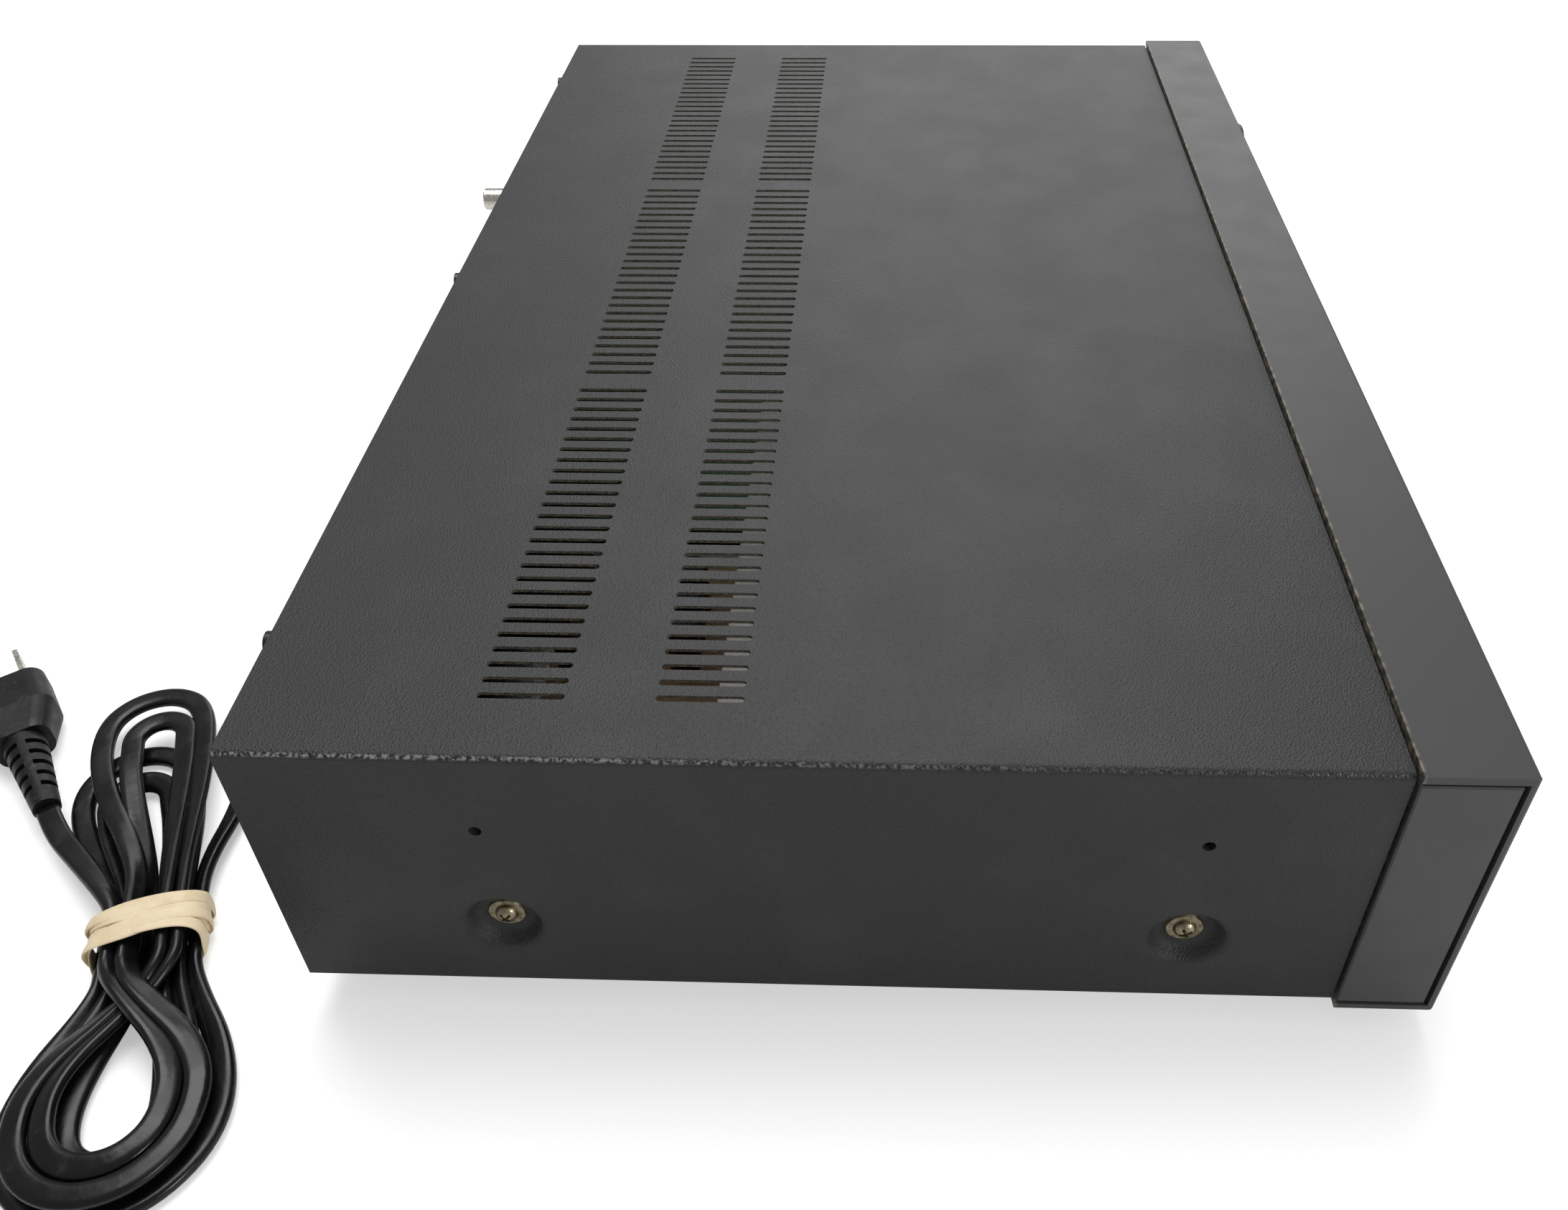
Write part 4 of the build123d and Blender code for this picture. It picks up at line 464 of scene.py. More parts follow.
# Plug and strain relief: black vinyl moulded on the cord, ribbed so that they bend with it.
# The plug has two flat nickelled blades, in the nickel of the rear sockets' barrels.
moulded_vinyl = surface("moulded_vinyl", (0.006, 0.006, 0.007), roughness=0.38, Specular_IOR_Level=0.30)
wear(moulded_vinyl, size=6.0, detail=3.0, low=0.36, high=0.52)
mottle(moulded_vinyl, (0.08, 0.075, 0.065), size=2.5, detail=5.0, span=(0.58, 0.75), share=0.4)
emboss(moulded_vinyl, size=0.5, detail=1.0, depth=0.03)
dress(moulded_vinyl, "plug_body", "strain_relief")
nickel = surface("nickel", (0.72, 0.69, 0.62), roughness=0.22, metallic=1.0)
wear(nickel, size=1.2, detail=4.0, low=0.16, high=0.36)
emboss(nickel, size=0.35, detail=2.0, depth=0.01, stretch=(1, 0.15, 1))
dress(nickel, "plug_blades", "socket_barrels")


# Top cover: one folded steel sheet with two rows of vent slots, sprayed in a pebbled
# dark grey paint that is polished by hands along its bends and holds fine dust.
def arithmetic(tree, operation, *values):
    """One sum of a tree; each value is a number or comes from a socket."""
    node = tree.nodes.new("ShaderNodeMath")
    node.operation = operation
    for entry, value in zip(node.inputs, values):
        if isinstance(value, bpy.types.NodeSocket):
            tree.links.new(value, entry)
        else:
            entry.default_value = value
    return node.outputs[0]


def product(material, first, second):
    """The product of two shares."""
    return arithmetic(material.node_tree, "MULTIPLY", first, second)


def axes_of(material):
    """The piece's x, y and z in millimetres, one by one."""
    split = material.node_tree.nodes.new("ShaderNodeSeparateXYZ")
    material.node_tree.links.new(place_on(material), split.inputs["Vector"])
    return split.outputs


case_paint = surface("case_paint", (0.024, 0.025, 0.025), roughness=0.46, Specular_IOR_Level=0.33)
pebbles = case_paint.node_tree.nodes.new("ShaderNodeTexVoronoi")
pebbles.feature = "SMOOTH_F1"
pebbles.inputs["Scale"].default_value = 2.1
pebbles.inputs["Smoothness"].default_value = 0.6
case_paint.node_tree.links.new(place_on(case_paint), pebbles.inputs["Vector"])
relief(case_paint, pebbles.outputs["Distance"], 0.15)
emboss(case_paint, size=0.35, detail=2.0, depth=0.05)
# Painted shade: the paint is darker where the pebbles meet.
shade_between_pebbles = between(case_paint, pebbles.outputs["Distance"], 0.25, 0.75, 0.0, 0.5)
blend_colour(case_paint, shade_between_pebbles, (0.015, 0.015, 0.015))
mottle(case_paint, (0.070, 0.067, 0.060), size=28.0, detail=10.0, span=(0.48, 0.78), share=0.16)
mottle(case_paint, (0.12, 0.115, 0.105), size=0.6, detail=3.0, span=(0.72, 0.80), share=0.45)

# Painted highlight: the bends are painted pale in broken specks, most of all towards the rear.
cover_side, cover_top = (1000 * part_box("top_cover")[1][axis] for axis in (0, 2))
case_axes = axes_of(case_paint)
from_middle = arithmetic(case_paint.node_tree, "ABSOLUTE", case_axes["X"])
bend_fades, bend_full = 1.2, 0.6
at_side = between(case_paint, from_middle, cover_side - bend_fades, cover_side - bend_full)
at_top = between(case_paint, case_axes["Z"], cover_top - bend_fades, cover_top - bend_full)
on_bend = product(case_paint, at_side, at_top)
highlight_specks = between(case_paint, grain(case_paint, 0.9, 5.0), 0.42, 0.62)
highlight_weakest, highlight_strongest = -90.0, 110.0
highlight_fade = between(case_paint, case_axes["Y"], highlight_weakest, highlight_strongest, 0.15, 1.0)
painted_bend_highlight = product(case_paint, product(case_paint, on_bend, highlight_specks), highlight_fade)
blend_colour(case_paint, painted_bend_highlight, (0.24, 0.24, 0.235))

# The walls of the slots are bare, scratched steel.
cover_sheet = 0.8
sheet_bottom = cover_top - cover_sheet
above_bottom = between(case_paint, case_axes["Z"], sheet_bottom - 0.1, sheet_bottom + 0.05)
under_top = between(case_paint, case_axes["Z"], cover_top - 0.06, cover_top - 0.14)
bend_ends, slots_may_start = cover_side - 4.2, cover_side - 5.0
inside_bends = between(case_paint, from_middle, bend_ends, slots_may_start)
slot_walls = product(case_paint, product(case_paint, above_bottom, under_top), inside_bends)
scratched = between(case_paint, grain(case_paint, 0.9, 4.0, (1, 1, 3)), 0.34, 0.62, 0.15, 0.9)
blend_colour(case_paint, product(case_paint, slot_walls, scratched), (0.17, 0.145, 0.11))

# The paint is matt, and the bends that hands have polished are smoother.
matt = between(case_paint, grain(case_paint, 22.0, 8.0), 0.3, 0.7, 0.465, 0.515)
polish = between(case_paint, on_bend, 0.2, 0.9, 0.0, 0.20)
polished = arithmetic(case_paint.node_tree, "SUBTRACT", matt, polish)
case_paint.node_tree.links.new(polished, shader_of(case_paint).inputs["Roughness"])
dress(case_paint, "top_cover")

# Galvanised sheet: the chassis, the disc drive's shell and its clamp bridge,
# with the faint spangle and the rolling marks of zinc coated steel.
galvanised = surface("galvanised", (0.33, 0.325, 0.305), roughness=0.42, metallic=0.75)
spangle = galvanised.node_tree.nodes.new("ShaderNodeTexVoronoi")
spangle.inputs["Scale"].default_value = 0.16
galvanised.node_tree.links.new(place_on(galvanised), spangle.inputs["Vector"])
bright_spangle = between(galvanised, spangle.outputs["Color"], 0.2, 0.8, 0.0, 0.3)
blend_colour(galvanised, bright_spangle, (0.44, 0.43, 0.41))
wear(galvanised, size=3.0, detail=4.0, low=0.34, high=0.50, stretch=(0.1, 1, 1))
emboss(galvanised, size=0.8, detail=2.0, depth=0.015, stretch=(0.05, 1, 1))
dress(galvanised, "bottom_chassis", "drive_shell", "clamp_bridge")

# Rear panel: pressed steel sprayed in a flat dark grey, finer than the cover,
# with openings for the sockets and the cord's strain relief.
panel_paint = surface("panel_paint", (0.035, 0.035, 0.034), roughness=0.56)
emboss(panel_paint, size=0.35, detail=2.0, depth=0.09)
mottle(panel_paint, (0.075, 0.072, 0.065), size=30.0, detail=5.0, span=(0.45, 0.7), share=0.25)
wear(panel_paint, size=14.0, detail=4.0, low=0.48, high=0.62)
dress(panel_paint, "rear_panel")

# Front bezel: one deep moulding in black plastic with a fine spark-eroded grain;
# dust has settled in the seam towards the cover.
bezel_plastic = surface("bezel_plastic", (0.056, 0.057, 0.056), roughness=0.44, Specular_IOR_Level=0.27)
emboss(bezel_plastic, size=0.22, detail=1.0, depth=0.035)
wear(bezel_plastic, size=14.0, detail=6.0, low=0.41, high=0.47)
dust_starts, dust_full = -117.6, -116.5
rearwards = axes_of(bezel_plastic)["Y"]
near_seam = between(bezel_plastic, rearwards, dust_starts, dust_full, 0.0, 0.8)
dusty = between(bezel_plastic, grain(bezel_plastic, 2.2, 5.0), 0.40, 0.66)
blend_colour(bezel_plastic, product(bezel_plastic, near_seam, dusty), (0.30, 0.25, 0.18))
dress(bezel_plastic, "front_bezel")

# Side cheeks: thin plates let into the bezel's ends. They and the tray's front
# are moulded in the same plastic with a smoother face.
cheek_plastic = surface("cheek_plastic", (0.058, 0.058, 0.059), roughness=0.40, Specular_IOR_Level=0.30)
emboss(cheek_plastic, size=0.3, detail=1.0, depth=0.02)
wear(cheek_plastic, size=12.0, detail=4.0, low=0.30, high=0.44)
dress(cheek_plastic, "left_cheek", "right_cheek", "tray_front")

# Display: a smoked acrylic window let into the bezel,
# with the unlit fields of the display module behind it.
smoked = surface("smoked_acrylic", (0.012, 0.010, 0.011), roughness=0.07, Coat_Weight=0.6)
wear(smoked, size=25.0, detail=4.0, low=0.05, high=0.12)
dress(smoked, "display_window")
module_glass = surface("module_glass", (0.10, 0.11, 0.115), roughness=0.25)
mottle(module_glass, (0.06, 0.07, 0.075), size=5.0, detail=1.0, span=(0.4, 0.6), share=0.3)
dress(module_glass, "display_module")

# Push buttons: moulded caps in satin black plastic, and a red one for recording,
# that press the switches of the key boards behind the bezel.
button_plastic = surface("button_plastic", (0.030, 0.030, 0.032), roughness=0.30)
wear(button_plastic, size=6.0, detail=3.0, low=0.24, high=0.38)
emboss(button_plastic, size=0.25, detail=1.0, depth=0.012)
dress(
    button_plastic,
    "power_button",
    "open_button",
    "play_pause_button",
    "stop_button",
    "back_button",
    "forward_button",
    "finalize_button",
)
record_plastic = surface("record_plastic", (0.22, 0.022, 0.018), roughness=0.32)
wear(record_plastic, size=6.0, detail=3.0, low=0.26, high=0.40)
dress(record_plastic, "record_button")

# Level knobs: turned caps in satin black with a ribbed skirt,
# each with a shaft into its potentiometer.
knob_plastic = surface("knob_plastic", (0.028, 0.028, 0.029), roughness=0.36)
wear(knob_plastic, size=5.0, detail=3.0, low=0.28, high=0.44)
emboss(knob_plastic, size=0.4, detail=2.0, depth=0.012, stretch=(1, 0.2, 1))
dress(knob_plastic, "record_level_knob", "phones_level_knob")

# Headphone jack, rear socket blocks, chips and turntable:
# moulded in a hard black plastic, semi-gloss.
hard_black = surface("hard_black", (0.018, 0.018, 0.019), roughness=0.33)
wear(hard_black, size=4.0, detail=3.0, low=0.26, high=0.42)
dress(hard_black, "phones_jack", "socket_blocks", "board_chips", "turntable")

# Disc loader: frame and traverse are moulded in a grey filled plastic,
# and the tray that slides out of the frame in black.
loader_grey = surface("loader_grey", (0.17, 0.17, 0.175), roughness=0.52)
emboss(loader_grey, size=0.4, detail=2.0, depth=0.04)
wear(loader_grey, size=10.0, detail=4.0, low=0.44, high=0.60)
dress(loader_grey, "loader_frame", "traverse_frame")
tray_plastic = surface("tray_plastic", (0.026, 0.026, 0.027), roughness=0.46)
emboss(tray_plastic, size=0.3, detail=1.0, depth=0.03)
wear(tray_plastic, size=15.0, detail=4.0, low=0.40, high=0.54)
dress(tray_plastic, "disc_tray")

# Gears, motor pulley, clamper and cam slider: moulded in natural acetal,
# slightly translucent and oily.
acetal = surface("acetal", (0.74, 0.73, 0.67), roughness=0.36, Subsurface_Weight=0.05)
wear(acetal, size=3.0, detail=3.0, low=0.28, high=0.46)
mottle(acetal, (0.55, 0.50, 0.38), size=6.0, detail=4.0, span=(0.5, 0.75), share=0.25)
dress(
    acetal,
    "loading_gear",
    "pulley_gear",
    "motor_pulley",
    "cam_slider",
    "sled_gear",
    "sled_motor_gear",
    "clamper",
)

# Motors and guide rods: plated steel cans,
# and the ground steel rods that carry the pickup.
plated = surface("plated_steel", (0.58, 0.57, 0.55), roughness=0.28, metallic=1.0)
wear(plated, size=2.0, detail=4.0, low=0.20, high=0.38, stretch=(1, 0.1, 1))
emboss(plated, size=0.5, detail=2.0, depth=0.008, stretch=(1, 0.1, 1))
dress(plated, "loading_motor", "spindle_motor", "sled_motor", "guide_rods")

# Pickup: a die casting, anodised black,
# that carries the lens and slides on the guide rods.
pickup_metal = surface("pickup_metal", (0.05, 0.05, 0.055), roughness=0.40, metallic=0.5)
emboss(pickup_metal, size=0.6, detail=3.0, depth=0.05)
wear(pickup_metal, size=3.0, detail=3.0, low=0.34, high=0.50)
dress(pickup_metal, "optical_pickup")

# Soft rubber: the loading belt, the traverse's dampers and the pads under the feet,
# moulded in matt black and a little dusty.
soft_rubber = surface("soft_rubber", (0.020, 0.020, 0.020), roughness=0.72)
emboss(soft_rubber, size=0.5, detail=2.0, depth=0.05)
mottle(soft_rubber, (0.09, 0.085, 0.075), size=4.0, detail=5.0, span=(0.5, 0.75), share=0.4)
wear(soft_rubber, size=3.0, detail=3.0, low=0.62, high=0.80)
dress(soft_rubber, "loading_belt", "traverse_dampers", "foot_pads")

# Feet: round discs moulded in black plastic with a satin side,
# screwed to the chassis.
foot_plastic = surface("foot_plastic", (0.024, 0.024, 0.025), roughness=0.40)
emboss(foot_plastic, size=0.3, detail=1.0, depth=0.025)
wear(foot_plastic, size=8.0, detail=3.0, low=0.34, high=0.48)
dress(foot_plastic, "feet")

# Circuit boards: green glass fibre for the main board, brown paper laminate
# for the power board and the key boards.
board_green = surface("board_green", (0.020, 0.11, 0.045), roughness=0.38)
track_way = (1, 0.15, 1)
track_green = (0.035, 0.17, 0.07)
mottle(board_green, track_green, size=5.0, detail=3.0, span=(0.50, 0.54), share=0.6, stretch=track_way)
emboss(board_green, size=5.0, detail=3.0, depth=0.02, stretch=track_way)
wear(board_green, size=5.0, detail=3.0, low=0.30, high=0.46)
dress(board_green, "main_board")
board_brown = surface("board_brown", (0.33, 0.20, 0.085), roughness=0.48)
mottle(board_brown, (0.24, 0.14, 0.06), size=4.0, detail=5.0, span=(0.4, 0.7), share=0.4)
emboss(board_brown, size=1.2, detail=2.0, depth=0.02)
wear(board_brown, size=6.0, detail=3.0, low=0.40, high=0.56)
dress(board_brown, "power_board", "key_board")

# On the boards: capacitors in dark blue sleeves, a bare aluminium heat sink,
# and the grey ribbon cable from the drive to the main board.
sleeve = surface("capacitor_sleeve", (0.020, 0.024, 0.050), roughness=0.32)
wear(sleeve, size=3.0, detail=2.0, low=0.26, high=0.40)
dress(sleeve, "capacitors")
bare_aluminium = surface("bare_aluminium", (0.60, 0.60, 0.61), roughness=0.38, metallic=1.0)
wear(bare_aluminium, size=1.5, detail=3.0, low=0.30, high=0.48, stretch=(1, 1, 0.05))
emboss(bare_aluminium, size=0.4, detail=2.0, depth=0.012, stretch=(1, 1, 0.05))
dress(bare_aluminium, "heat_sink")
ribbon_grey = surface("ribbon_grey", (0.62, 0.62, 0.60), roughness=0.44)
wire_way = (1, 0.02, 0.02)
groove_shade_grey = (0.40, 0.40, 0.39)
# Painted shade: darker grey streaks that run with the wires stand for the shade in the grooves between
# them.
mottle(ribbon_grey, groove_shade_grey, size=1.2, detail=1.0, span=(0.45, 0.55), share=0.5, stretch=wire_way)
emboss(ribbon_grey, size=1.2, detail=1.0, depth=0.08, stretch=wire_way)
dress(ribbon_grey, "ribbon_cable")

# Screws: cross-head machine screws, yellow passivated with a flange washer on the sides,
# and black ones at the rear, underneath and on the bezel's flange.
yellow_zinc = surface("yellow_zinc", (0.36, 0.31, 0.21), roughness=0.32, metallic=0.95)
mottle(yellow_zinc, (0.13, 0.10, 0.055), size=1.5, detail=4.0, span=(0.42, 0.70), share=0.8)
wear(yellow_zinc, size=1.0, detail=3.0, low=0.24, high=0.46)
black_zinc = surface("black_zinc", (0.05, 0.05, 0.05), roughness=0.36, metallic=0.8)
wear(black_zinc, size=1.0, detail=3.0, low=0.28, high=0.46)


def node_tree(name, sizes):
    """An empty tree with points going in, pieces coming out, and these named sizes going in."""
    tree = bpy.data.node_groups.new(name, "GeometryNodeTree")
    tree.interface.new_socket("Places", in_out="INPUT", socket_type="NodeSocketGeometry")
    for size_name, value in sizes.items():
        size_socket = tree.interface.new_socket(size_name, in_out="INPUT", socket_type="NodeSocketFloat")
        size_socket.default_value = value
    tree.interface.new_socket("Finish", in_out="INPUT", socket_type="NodeSocketMaterial")
    tree.interface.new_socket("Pieces", in_out="OUTPUT", socket_type="NodeSocketGeometry")
    return tree, tree.nodes.new("NodeGroupInput").outputs, tree.nodes.new("NodeGroupOutput").inputs


def step(tree, kind, settings=(), **sockets):
    """One node of a tree; settings are its own choices, sockets what goes into it."""
    node = tree.nodes.new(kind)
    for setting, choice in dict(settings).items():
        setattr(node, setting, choice)
    for socket, value in sockets.items():
        entry = node.inputs[socket.replace("_", " ")]
        if isinstance(value, bpy.types.NodeSocket):
            tree.links.new(value, entry)
        else:
            entry.default_value = value
    return node


def corner_of(tree, x, y, z):
    """Three numbers of a tree as one place."""
    return step(tree, "ShaderNodeCombineXYZ", X=x, Y=y, Z=z).outputs[0]


def moved_up(tree, piece, height, **more):
    """The piece of a tree, higher by this much."""
    rise = corner_of(tree, 0.0, 0.0, height)
    moved = step(tree, "GeometryNodeTransform", Geometry=piece, Translation=rise, **more)
    return moved.outputs["Geometry"]


def set_and_finish(tree, given, made, piece, spin=None):
    """Put the piece at each point, facing its way and turned by the spin, and give it the finish."""
    facing = step(tree, "GeometryNodeInputNamedAttribute", {"data_type": "FLOAT_VECTOR"}, Name="facing")
    faced = facing.outputs["Attribute"]
    turned = step(tree, "FunctionNodeAlignEulerToVector", {"axis": "Z"}, Vector=faced).outputs[0]
    if spin is not None:
        in_place = {"space": "LOCAL"}
        about_face = corner_of(tree, 0.0, 0.0, spin)
        spun = step(tree, "FunctionNodeRotateEuler", in_place, Rotation=turned, Rotate_By=about_face)
        turned = spun.outputs[0]
    placed = step(
        tree, "GeometryNodeInstanceOnPoints", Points=given["Places"], Instance=piece, Rotation=turned
    )
    solid = step(tree, "GeometryNodeRealizeInstances", Geometry=placed.outputs["Instances"])
    solid_shape = solid.outputs["Geometry"]
    finished = step(tree, "GeometryNodeSetMaterial", Geometry=solid_shape, Material=given["Finish"])
    tree.links.new(finished.outputs["Geometry"], made["Pieces"])


def repeated(name, tree, points, ways, finish, body, slot_name, replaced=(), **sizes):
    """Put a tree's pieces at points, each facing its way, as one plain mesh that rides on a body."""
    seats = bpy.data.meshes.new(name)
    seats.from_pydata(points, [], [])
    facing = seats.attributes.new("facing", "FLOAT_VECTOR", "POINT")
    facing.data.foreach_set("vector", [c for way in ways for c in way])
    holder = in_scene(name, seats)
    maker = holder.modifiers.new("maker", "NODES")
    maker.node_group = tree
    for item in tree.interface.items_tree:
        if item.in_out == "INPUT" and item.name in sizes:
            maker[item.identifier] = sizes[item.name]
        elif item.in_out == "INPUT" and item.name == "Finish":
            maker[item.identifier] = finish
    bpy.context.view_layer.update()
    made = mesh_of(holder)
    holder.modifiers.clear()
    holder.data = made
    bpy.data.meshes.remove(seats)
    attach(holder, body)
    if replaced:
        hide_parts(*replaced)


screw_sizes = {
    "Head Radius": 0.0029,
    "Head Height": 0.0021,
    "Washer Radius": 0.00475,
    "Washer Thickness": 0.0006,
}
screw_tree, given, made = node_tree("screw_maker", screw_sizes)
head_radius = given["Head Radius"]
head_height = given["Head Height"]
dome_sunk = 0.15
wing_reach, wing_breadth, wing_level = 1.15, 0.26, 0.95
washer_taper = 0.93
dome_height = arithmetic(screw_tree, "MULTIPLY", head_height, 1 + dome_sunk)
dome = moved_up(
    screw_tree,
    step(screw_tree, "GeometryNodeMeshUVSphere", Segments=32, Rings=20, Radius=1.0).outputs["Mesh"],
    arithmetic(screw_tree, "MULTIPLY", head_height, -dome_sunk),
    Scale=corner_of(screw_tree, head_radius, head_radius, dome_height),
)
block_width, block_depth = 0.02, 0.01
block_size = corner_of(screw_tree, block_width, block_width, block_depth)
block = step(screw_tree, "GeometryNodeMeshCube", Size=block_size)
block_below = moved_up(screw_tree, block.outputs["Mesh"], -block_depth / 2)
wing_length = arithmetic(screw_tree, "MULTIPLY", head_radius, wing_reach)
wing_width = arithmetic(screw_tree, "MULTIPLY", head_radius, wing_breadth)
wing_rise = arithmetic(screw_tree, "MULTIPLY", head_height, wing_level)
head = step(screw_tree, "GeometryNodeMeshBoolean", {"operation": "DIFFERENCE"})
screw_tree.links.new(dome, head.inputs[0])
screw_tree.links.new(block_below, head.inputs[1])
for wing_x, wing_y in ((wing_width, wing_length), (wing_length, wing_width)):
    wing_size = corner_of(screw_tree, wing_x, wing_y, head_height)
    wing = step(screw_tree, "GeometryNodeMeshCube", Size=wing_size)
    screw_tree.links.new(moved_up(screw_tree, wing.outputs["Mesh"], wing_rise), head.inputs[1])
washer = step(
    screw_tree,
    "GeometryNodeMeshCone",
    Vertices=40,
    Radius_Top=arithmetic(screw_tree, "MULTIPLY", given["Washer Radius"], washer_taper),
    Radius_Bottom=given["Washer Radius"],
    Depth=given["Washer Thickness"],
)
screw_parts = step(screw_tree, "GeometryNodeJoinGeometry")
head_on_washer = moved_up(screw_tree, head.outputs["Mesh"], given["Washer Thickness"])
screw_tree.links.new(head_on_washer, screw_parts.inputs[0])
screw_tree.links.new(washer.outputs["Mesh"], screw_parts.inputs[0])
screw_spin = step(screw_tree, "FunctionNodeRandomValue", {"data_type": "FLOAT"}, Seed=7).outputs[1]
set_and_finish(screw_tree, given, made, screw_parts.outputs["Geometry"], screw_spin)

washer_seat = 0.2123
screw_height = 0.034
screws_rear, screws_front = 0.08775, -0.07675
repeated(
    "side_screws",
    screw_tree,
    [(side * washer_seat, y, screw_height) for side in (-1, 1) for y in (screws_rear, screws_front)],
    [(side, 0, 0) for side in (-1, -1, 1, 1)],
    yellow_zinc,
    "case",
    "yellowed_zinc",
    ["cover_side_screws"],
)
dress(black_zinc, "panel_screws")

# Level marks: raised white dots on the bezel round the two knobs,
# and the unlit mains lamp in its red lens over the power button.
marks_white = surface("marks_white", (0.62, 0.62, 0.60), roughness=0.50)
wear(marks_white, size=1.0, detail=2.0, low=0.42, high=0.58)
dot_tree, given, made = node_tree("dot_maker", {"Dot Radius": 0.0006, "Dot Height": 0.00012})
dot = step(dot_tree, "GeometryNodeMeshUVSphere", Segments=16, Rings=8, Radius=1.0)
dot_size = corner_of(dot_tree, given["Dot Radius"], given["Dot Radius"], given["Dot Height"])
flat_dot = step(dot_tree, "GeometryNodeTransform", Geometry=dot.outputs["Mesh"], Scale=dot_size)
set_and_finish(dot_tree, given, made, flat_dot.outputs["Geometry"])
bezel_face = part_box("front_bezel")[0][1]
knob_sweep = 300
knob_marks = [
    # knob, number of dots, gap to the knob, radius of a dot
    ("record_level_knob", 11, 0.0036, 0.0006),
    ("phones_level_knob", 9, 0.0028, 0.0004),
]
for knob, dots, gap, dot_radius in knob_marks:
    low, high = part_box(knob)
    across, up = (low[0] + high[0]) / 2, (low[2] + high[2]) / 2
    reach = (high[0] - low[0]) / 2 + gap
    turns_to = [math.radians(knob_sweep * n / (dots - 1) - knob_sweep / 2) for n in range(dots)]
    repeated(
        knob.replace("knob", "marks"),
        dot_tree,
        [(across + reach * math.sin(t), bezel_face, up + reach * math.cos(t)) for t in turns_to],
        [(0, -1, 0)] * dots,
        marks_white,
        "case",
        "grey_plastic",
        **{"Dot Radius": dot_radius},
    )
power_low, power_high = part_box("power_button")
lamp_above = 0.0060
lamp_lens = surface("lamp_lens", (0.16, 0.012, 0.010), roughness=0.16)
wear(lamp_lens, size=1.0, detail=2.0, low=0.12, high=0.22)
repeated(
    "mains_lamp",
    dot_tree,
    [((power_low[0] + power_high[0]) / 2, bezel_face, power_high[2] + lamp_above)],
    [(0, -1, 0)],
    lamp_lens,
    "case",
    "window",
    **{"Dot Radius": 0.0015, "Dot Height": 0.0008},
)

# Socket rings: plastic insulators in white, red and orange
# that show round the feet of the nickel barrels.
ring_tree, given, made = node_tree("ring_maker", {"Ring Radius": 0.00462, "Ring Thickness": 0.00038})
ring_path = step(ring_tree, "GeometryNodeCurvePrimitiveCircle", Resolution=40, Radius=given["Ring Radius"])
ring_profile = step(
    ring_tree, "GeometryNodeCurvePrimitiveCircle", Resolution=10, Radius=given["Ring Thickness"]
)
ring = step(
    ring_tree,
    "GeometryNodeCurveToMesh",
    Curve=ring_path.outputs["Curve"],
    Profile_Curve=ring_profile.outputs["Curve"],
)
set_and_finish(ring_tree, given, made, ring.outputs["Mesh"])
ring_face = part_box("socket_barrels")[0][1] + 0.0002
inner_sockets, outer_sockets, coaxial_sockets = 0.122, 0.139, 0.082
upper_row, lower_row, coaxial_row = 0.044, 0.027, 0.081
ring_sets = [
    ("white_rings", (0.70, 0.69, 0.65), [(inner_sockets, upper_row), (outer_sockets, upper_row)]),
    ("red_rings", (0.42, 0.020, 0.018), [(inner_sockets, lower_row), (outer_sockets, lower_row)]),
    ("orange_ring", (0.60, 0.19, 0.020), [(coaxial_sockets, coaxial_row)]),
]
for ring_name, ring_colour, ring_places in ring_sets:
    ring_plastic = surface(ring_name, ring_colour, roughness=0.42)
    wear(ring_plastic, size=2.0, detail=2.0, low=0.34, high=0.50)
    repeated(
        ring_name,
        ring_tree,
        [(x, ring_face, z) for x, z in ring_places],
        [(0, 1, 0)] * len(ring_places),
        ring_plastic,
        "case",
        "grey_plastic",
    )

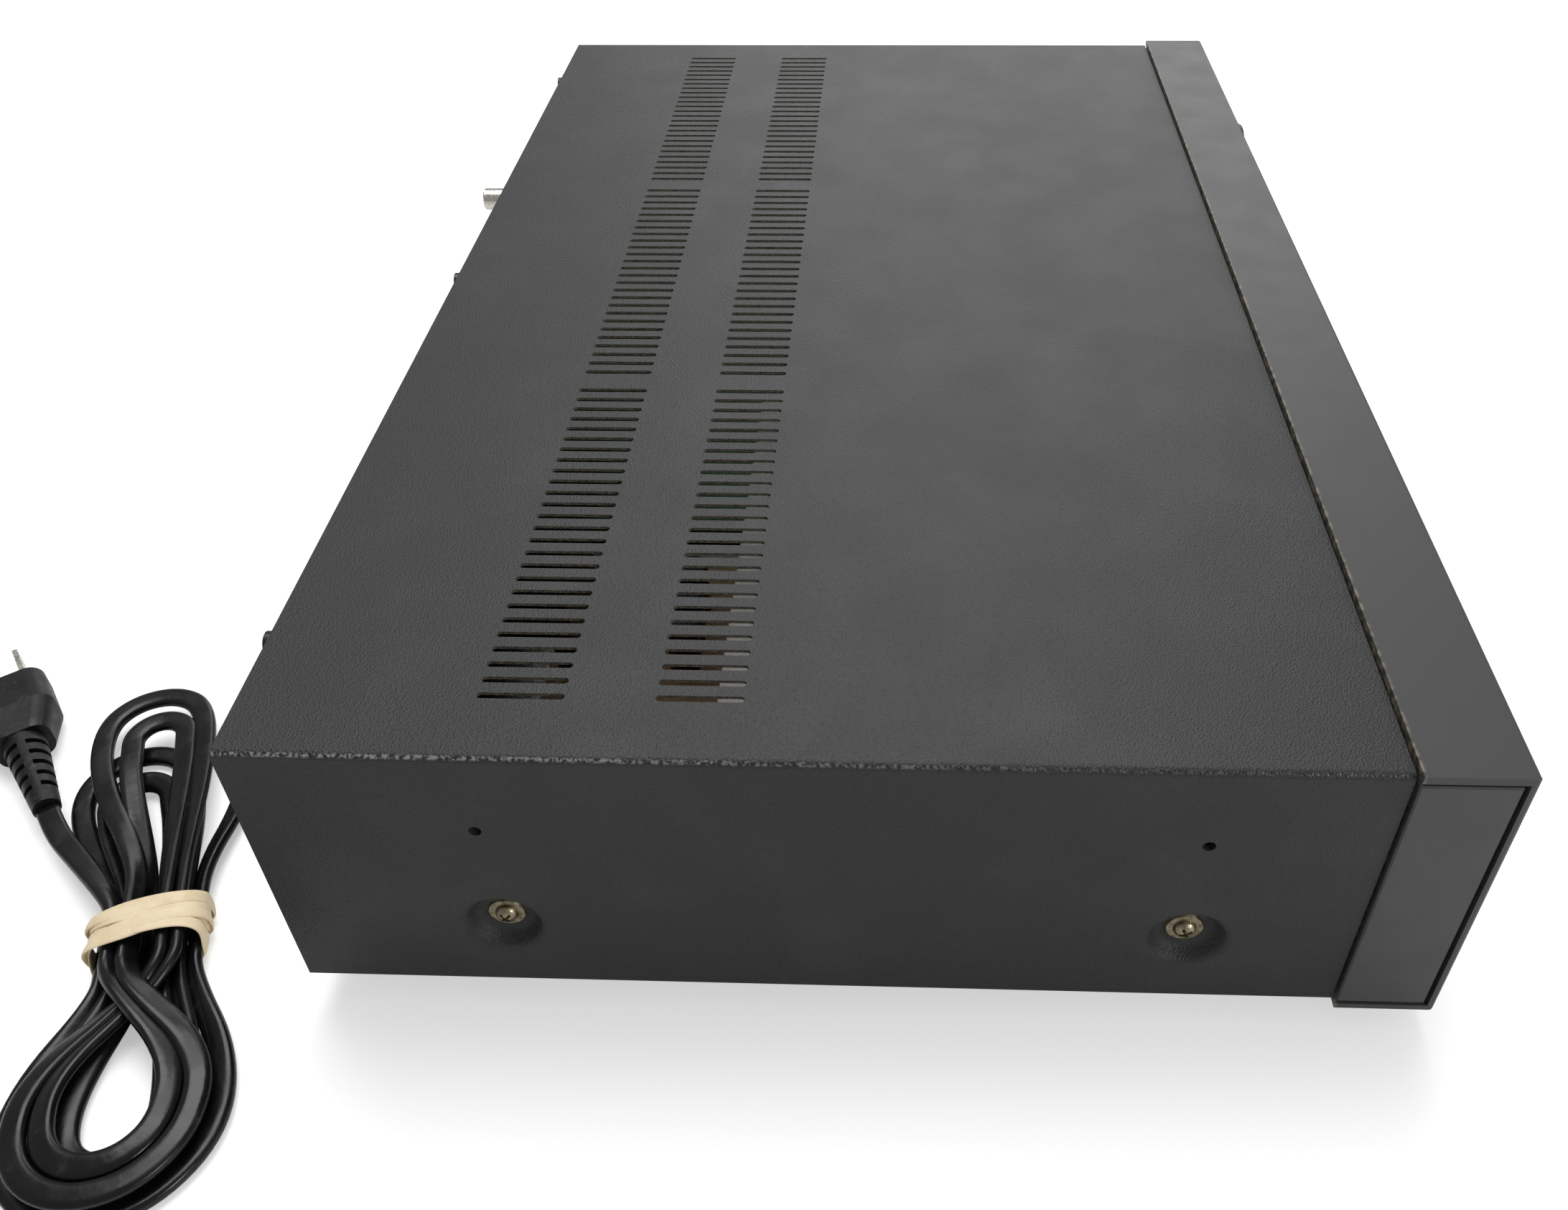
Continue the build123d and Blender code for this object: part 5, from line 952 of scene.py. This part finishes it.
# Table and light: a pale table under the case, a large soft lamp over it, one beyond its
# right end, a small one near its left front corner, and a pale room all round.
table_half = 6
table_corners = [(x * table_half, y * table_half, 0) for x, y in ((-1, -1), (1, -1), (1, 1), (-1, 1))]
table_mesh = bpy.data.meshes.new("table_top")
table_mesh.from_pydata(table_corners, [], [(0, 1, 2, 3)])
table_top = in_scene("table_top", table_mesh)
table_finish = surface("table_finish", (0.84, 0.84, 0.84), roughness=0.9, Emission_Color=(1, 1, 1, 1))
table_tree = table_finish.node_tree
from_case = table_tree.nodes.new("ShaderNodeVectorMath")
from_case.operation = "LENGTH"
table_tree.links.new(place_on(table_finish), from_case.inputs[0])
glow_near, glow_far = 0.42, 1.0
glow_starts, glow_full = 500.0, 1500.0
distance = from_case.outputs["Value"]
paler_far = between(table_finish, distance, glow_starts, glow_full, glow_near, glow_far)
table_sight = table_tree.nodes.new("ShaderNodeLightPath")
table_glow = table_tree.nodes.new("ShaderNodeMapRange")
table_tree.links.new(table_sight.outputs["Is Camera Ray"], table_glow.inputs["Value"])
table_tree.links.new(paler_far, table_glow.inputs["To Max"])
table_tree.links.new(table_glow.outputs["Result"], shader_of(table_finish).inputs["Emission Strength"])
table_mesh.materials.append(table_finish)


def soft_lamp(name, place, target, size, power):
    """A square soft lamp that faces a point."""
    data = bpy.data.lights.new(name, "AREA")
    data.shape = "SQUARE"
    data.size = size
    data.energy = power
    facing = (Vector(target) - Vector(place)).to_track_quat("-Z", "Y").to_matrix().to_4x4()
    in_scene(name, data).matrix_world = Matrix.Translation(place) @ facing


soft_lamp("high_lamp", (0.5, 0.2, 1.8), (0, 0, 0), size=1.3, power=28)
soft_lamp("far_lamp", (2.0, -0.3, 0.9), (0, 0, 0.05), size=1.6, power=15)
soft_lamp("near_lamp", (-1.1, -1.2, 0.75), (-0.2, -0.12, 0.05), size=0.4, power=9)
room = bpy.data.worlds.new("room")
bpy.context.scene.world = room
room.use_nodes = True
room_nodes = room.node_tree.nodes
room_light = room_nodes["Background"]
room_light.inputs["Color"].default_value = (1, 1, 1, 1)
sight = room_nodes.new("ShaderNodeLightPath")
shown = room_nodes.new("ShaderNodeMapRange")
shown.inputs["To Min"].default_value = 0.30
shown.inputs["To Max"].default_value = 1.0
room.node_tree.links.new(sight.outputs["Is Camera Ray"], shown.inputs["Value"])
room.node_tree.links.new(shown.outputs["Result"], room_light.inputs["Strength"])
bpy.context.scene.view_settings.view_transform = "Standard"
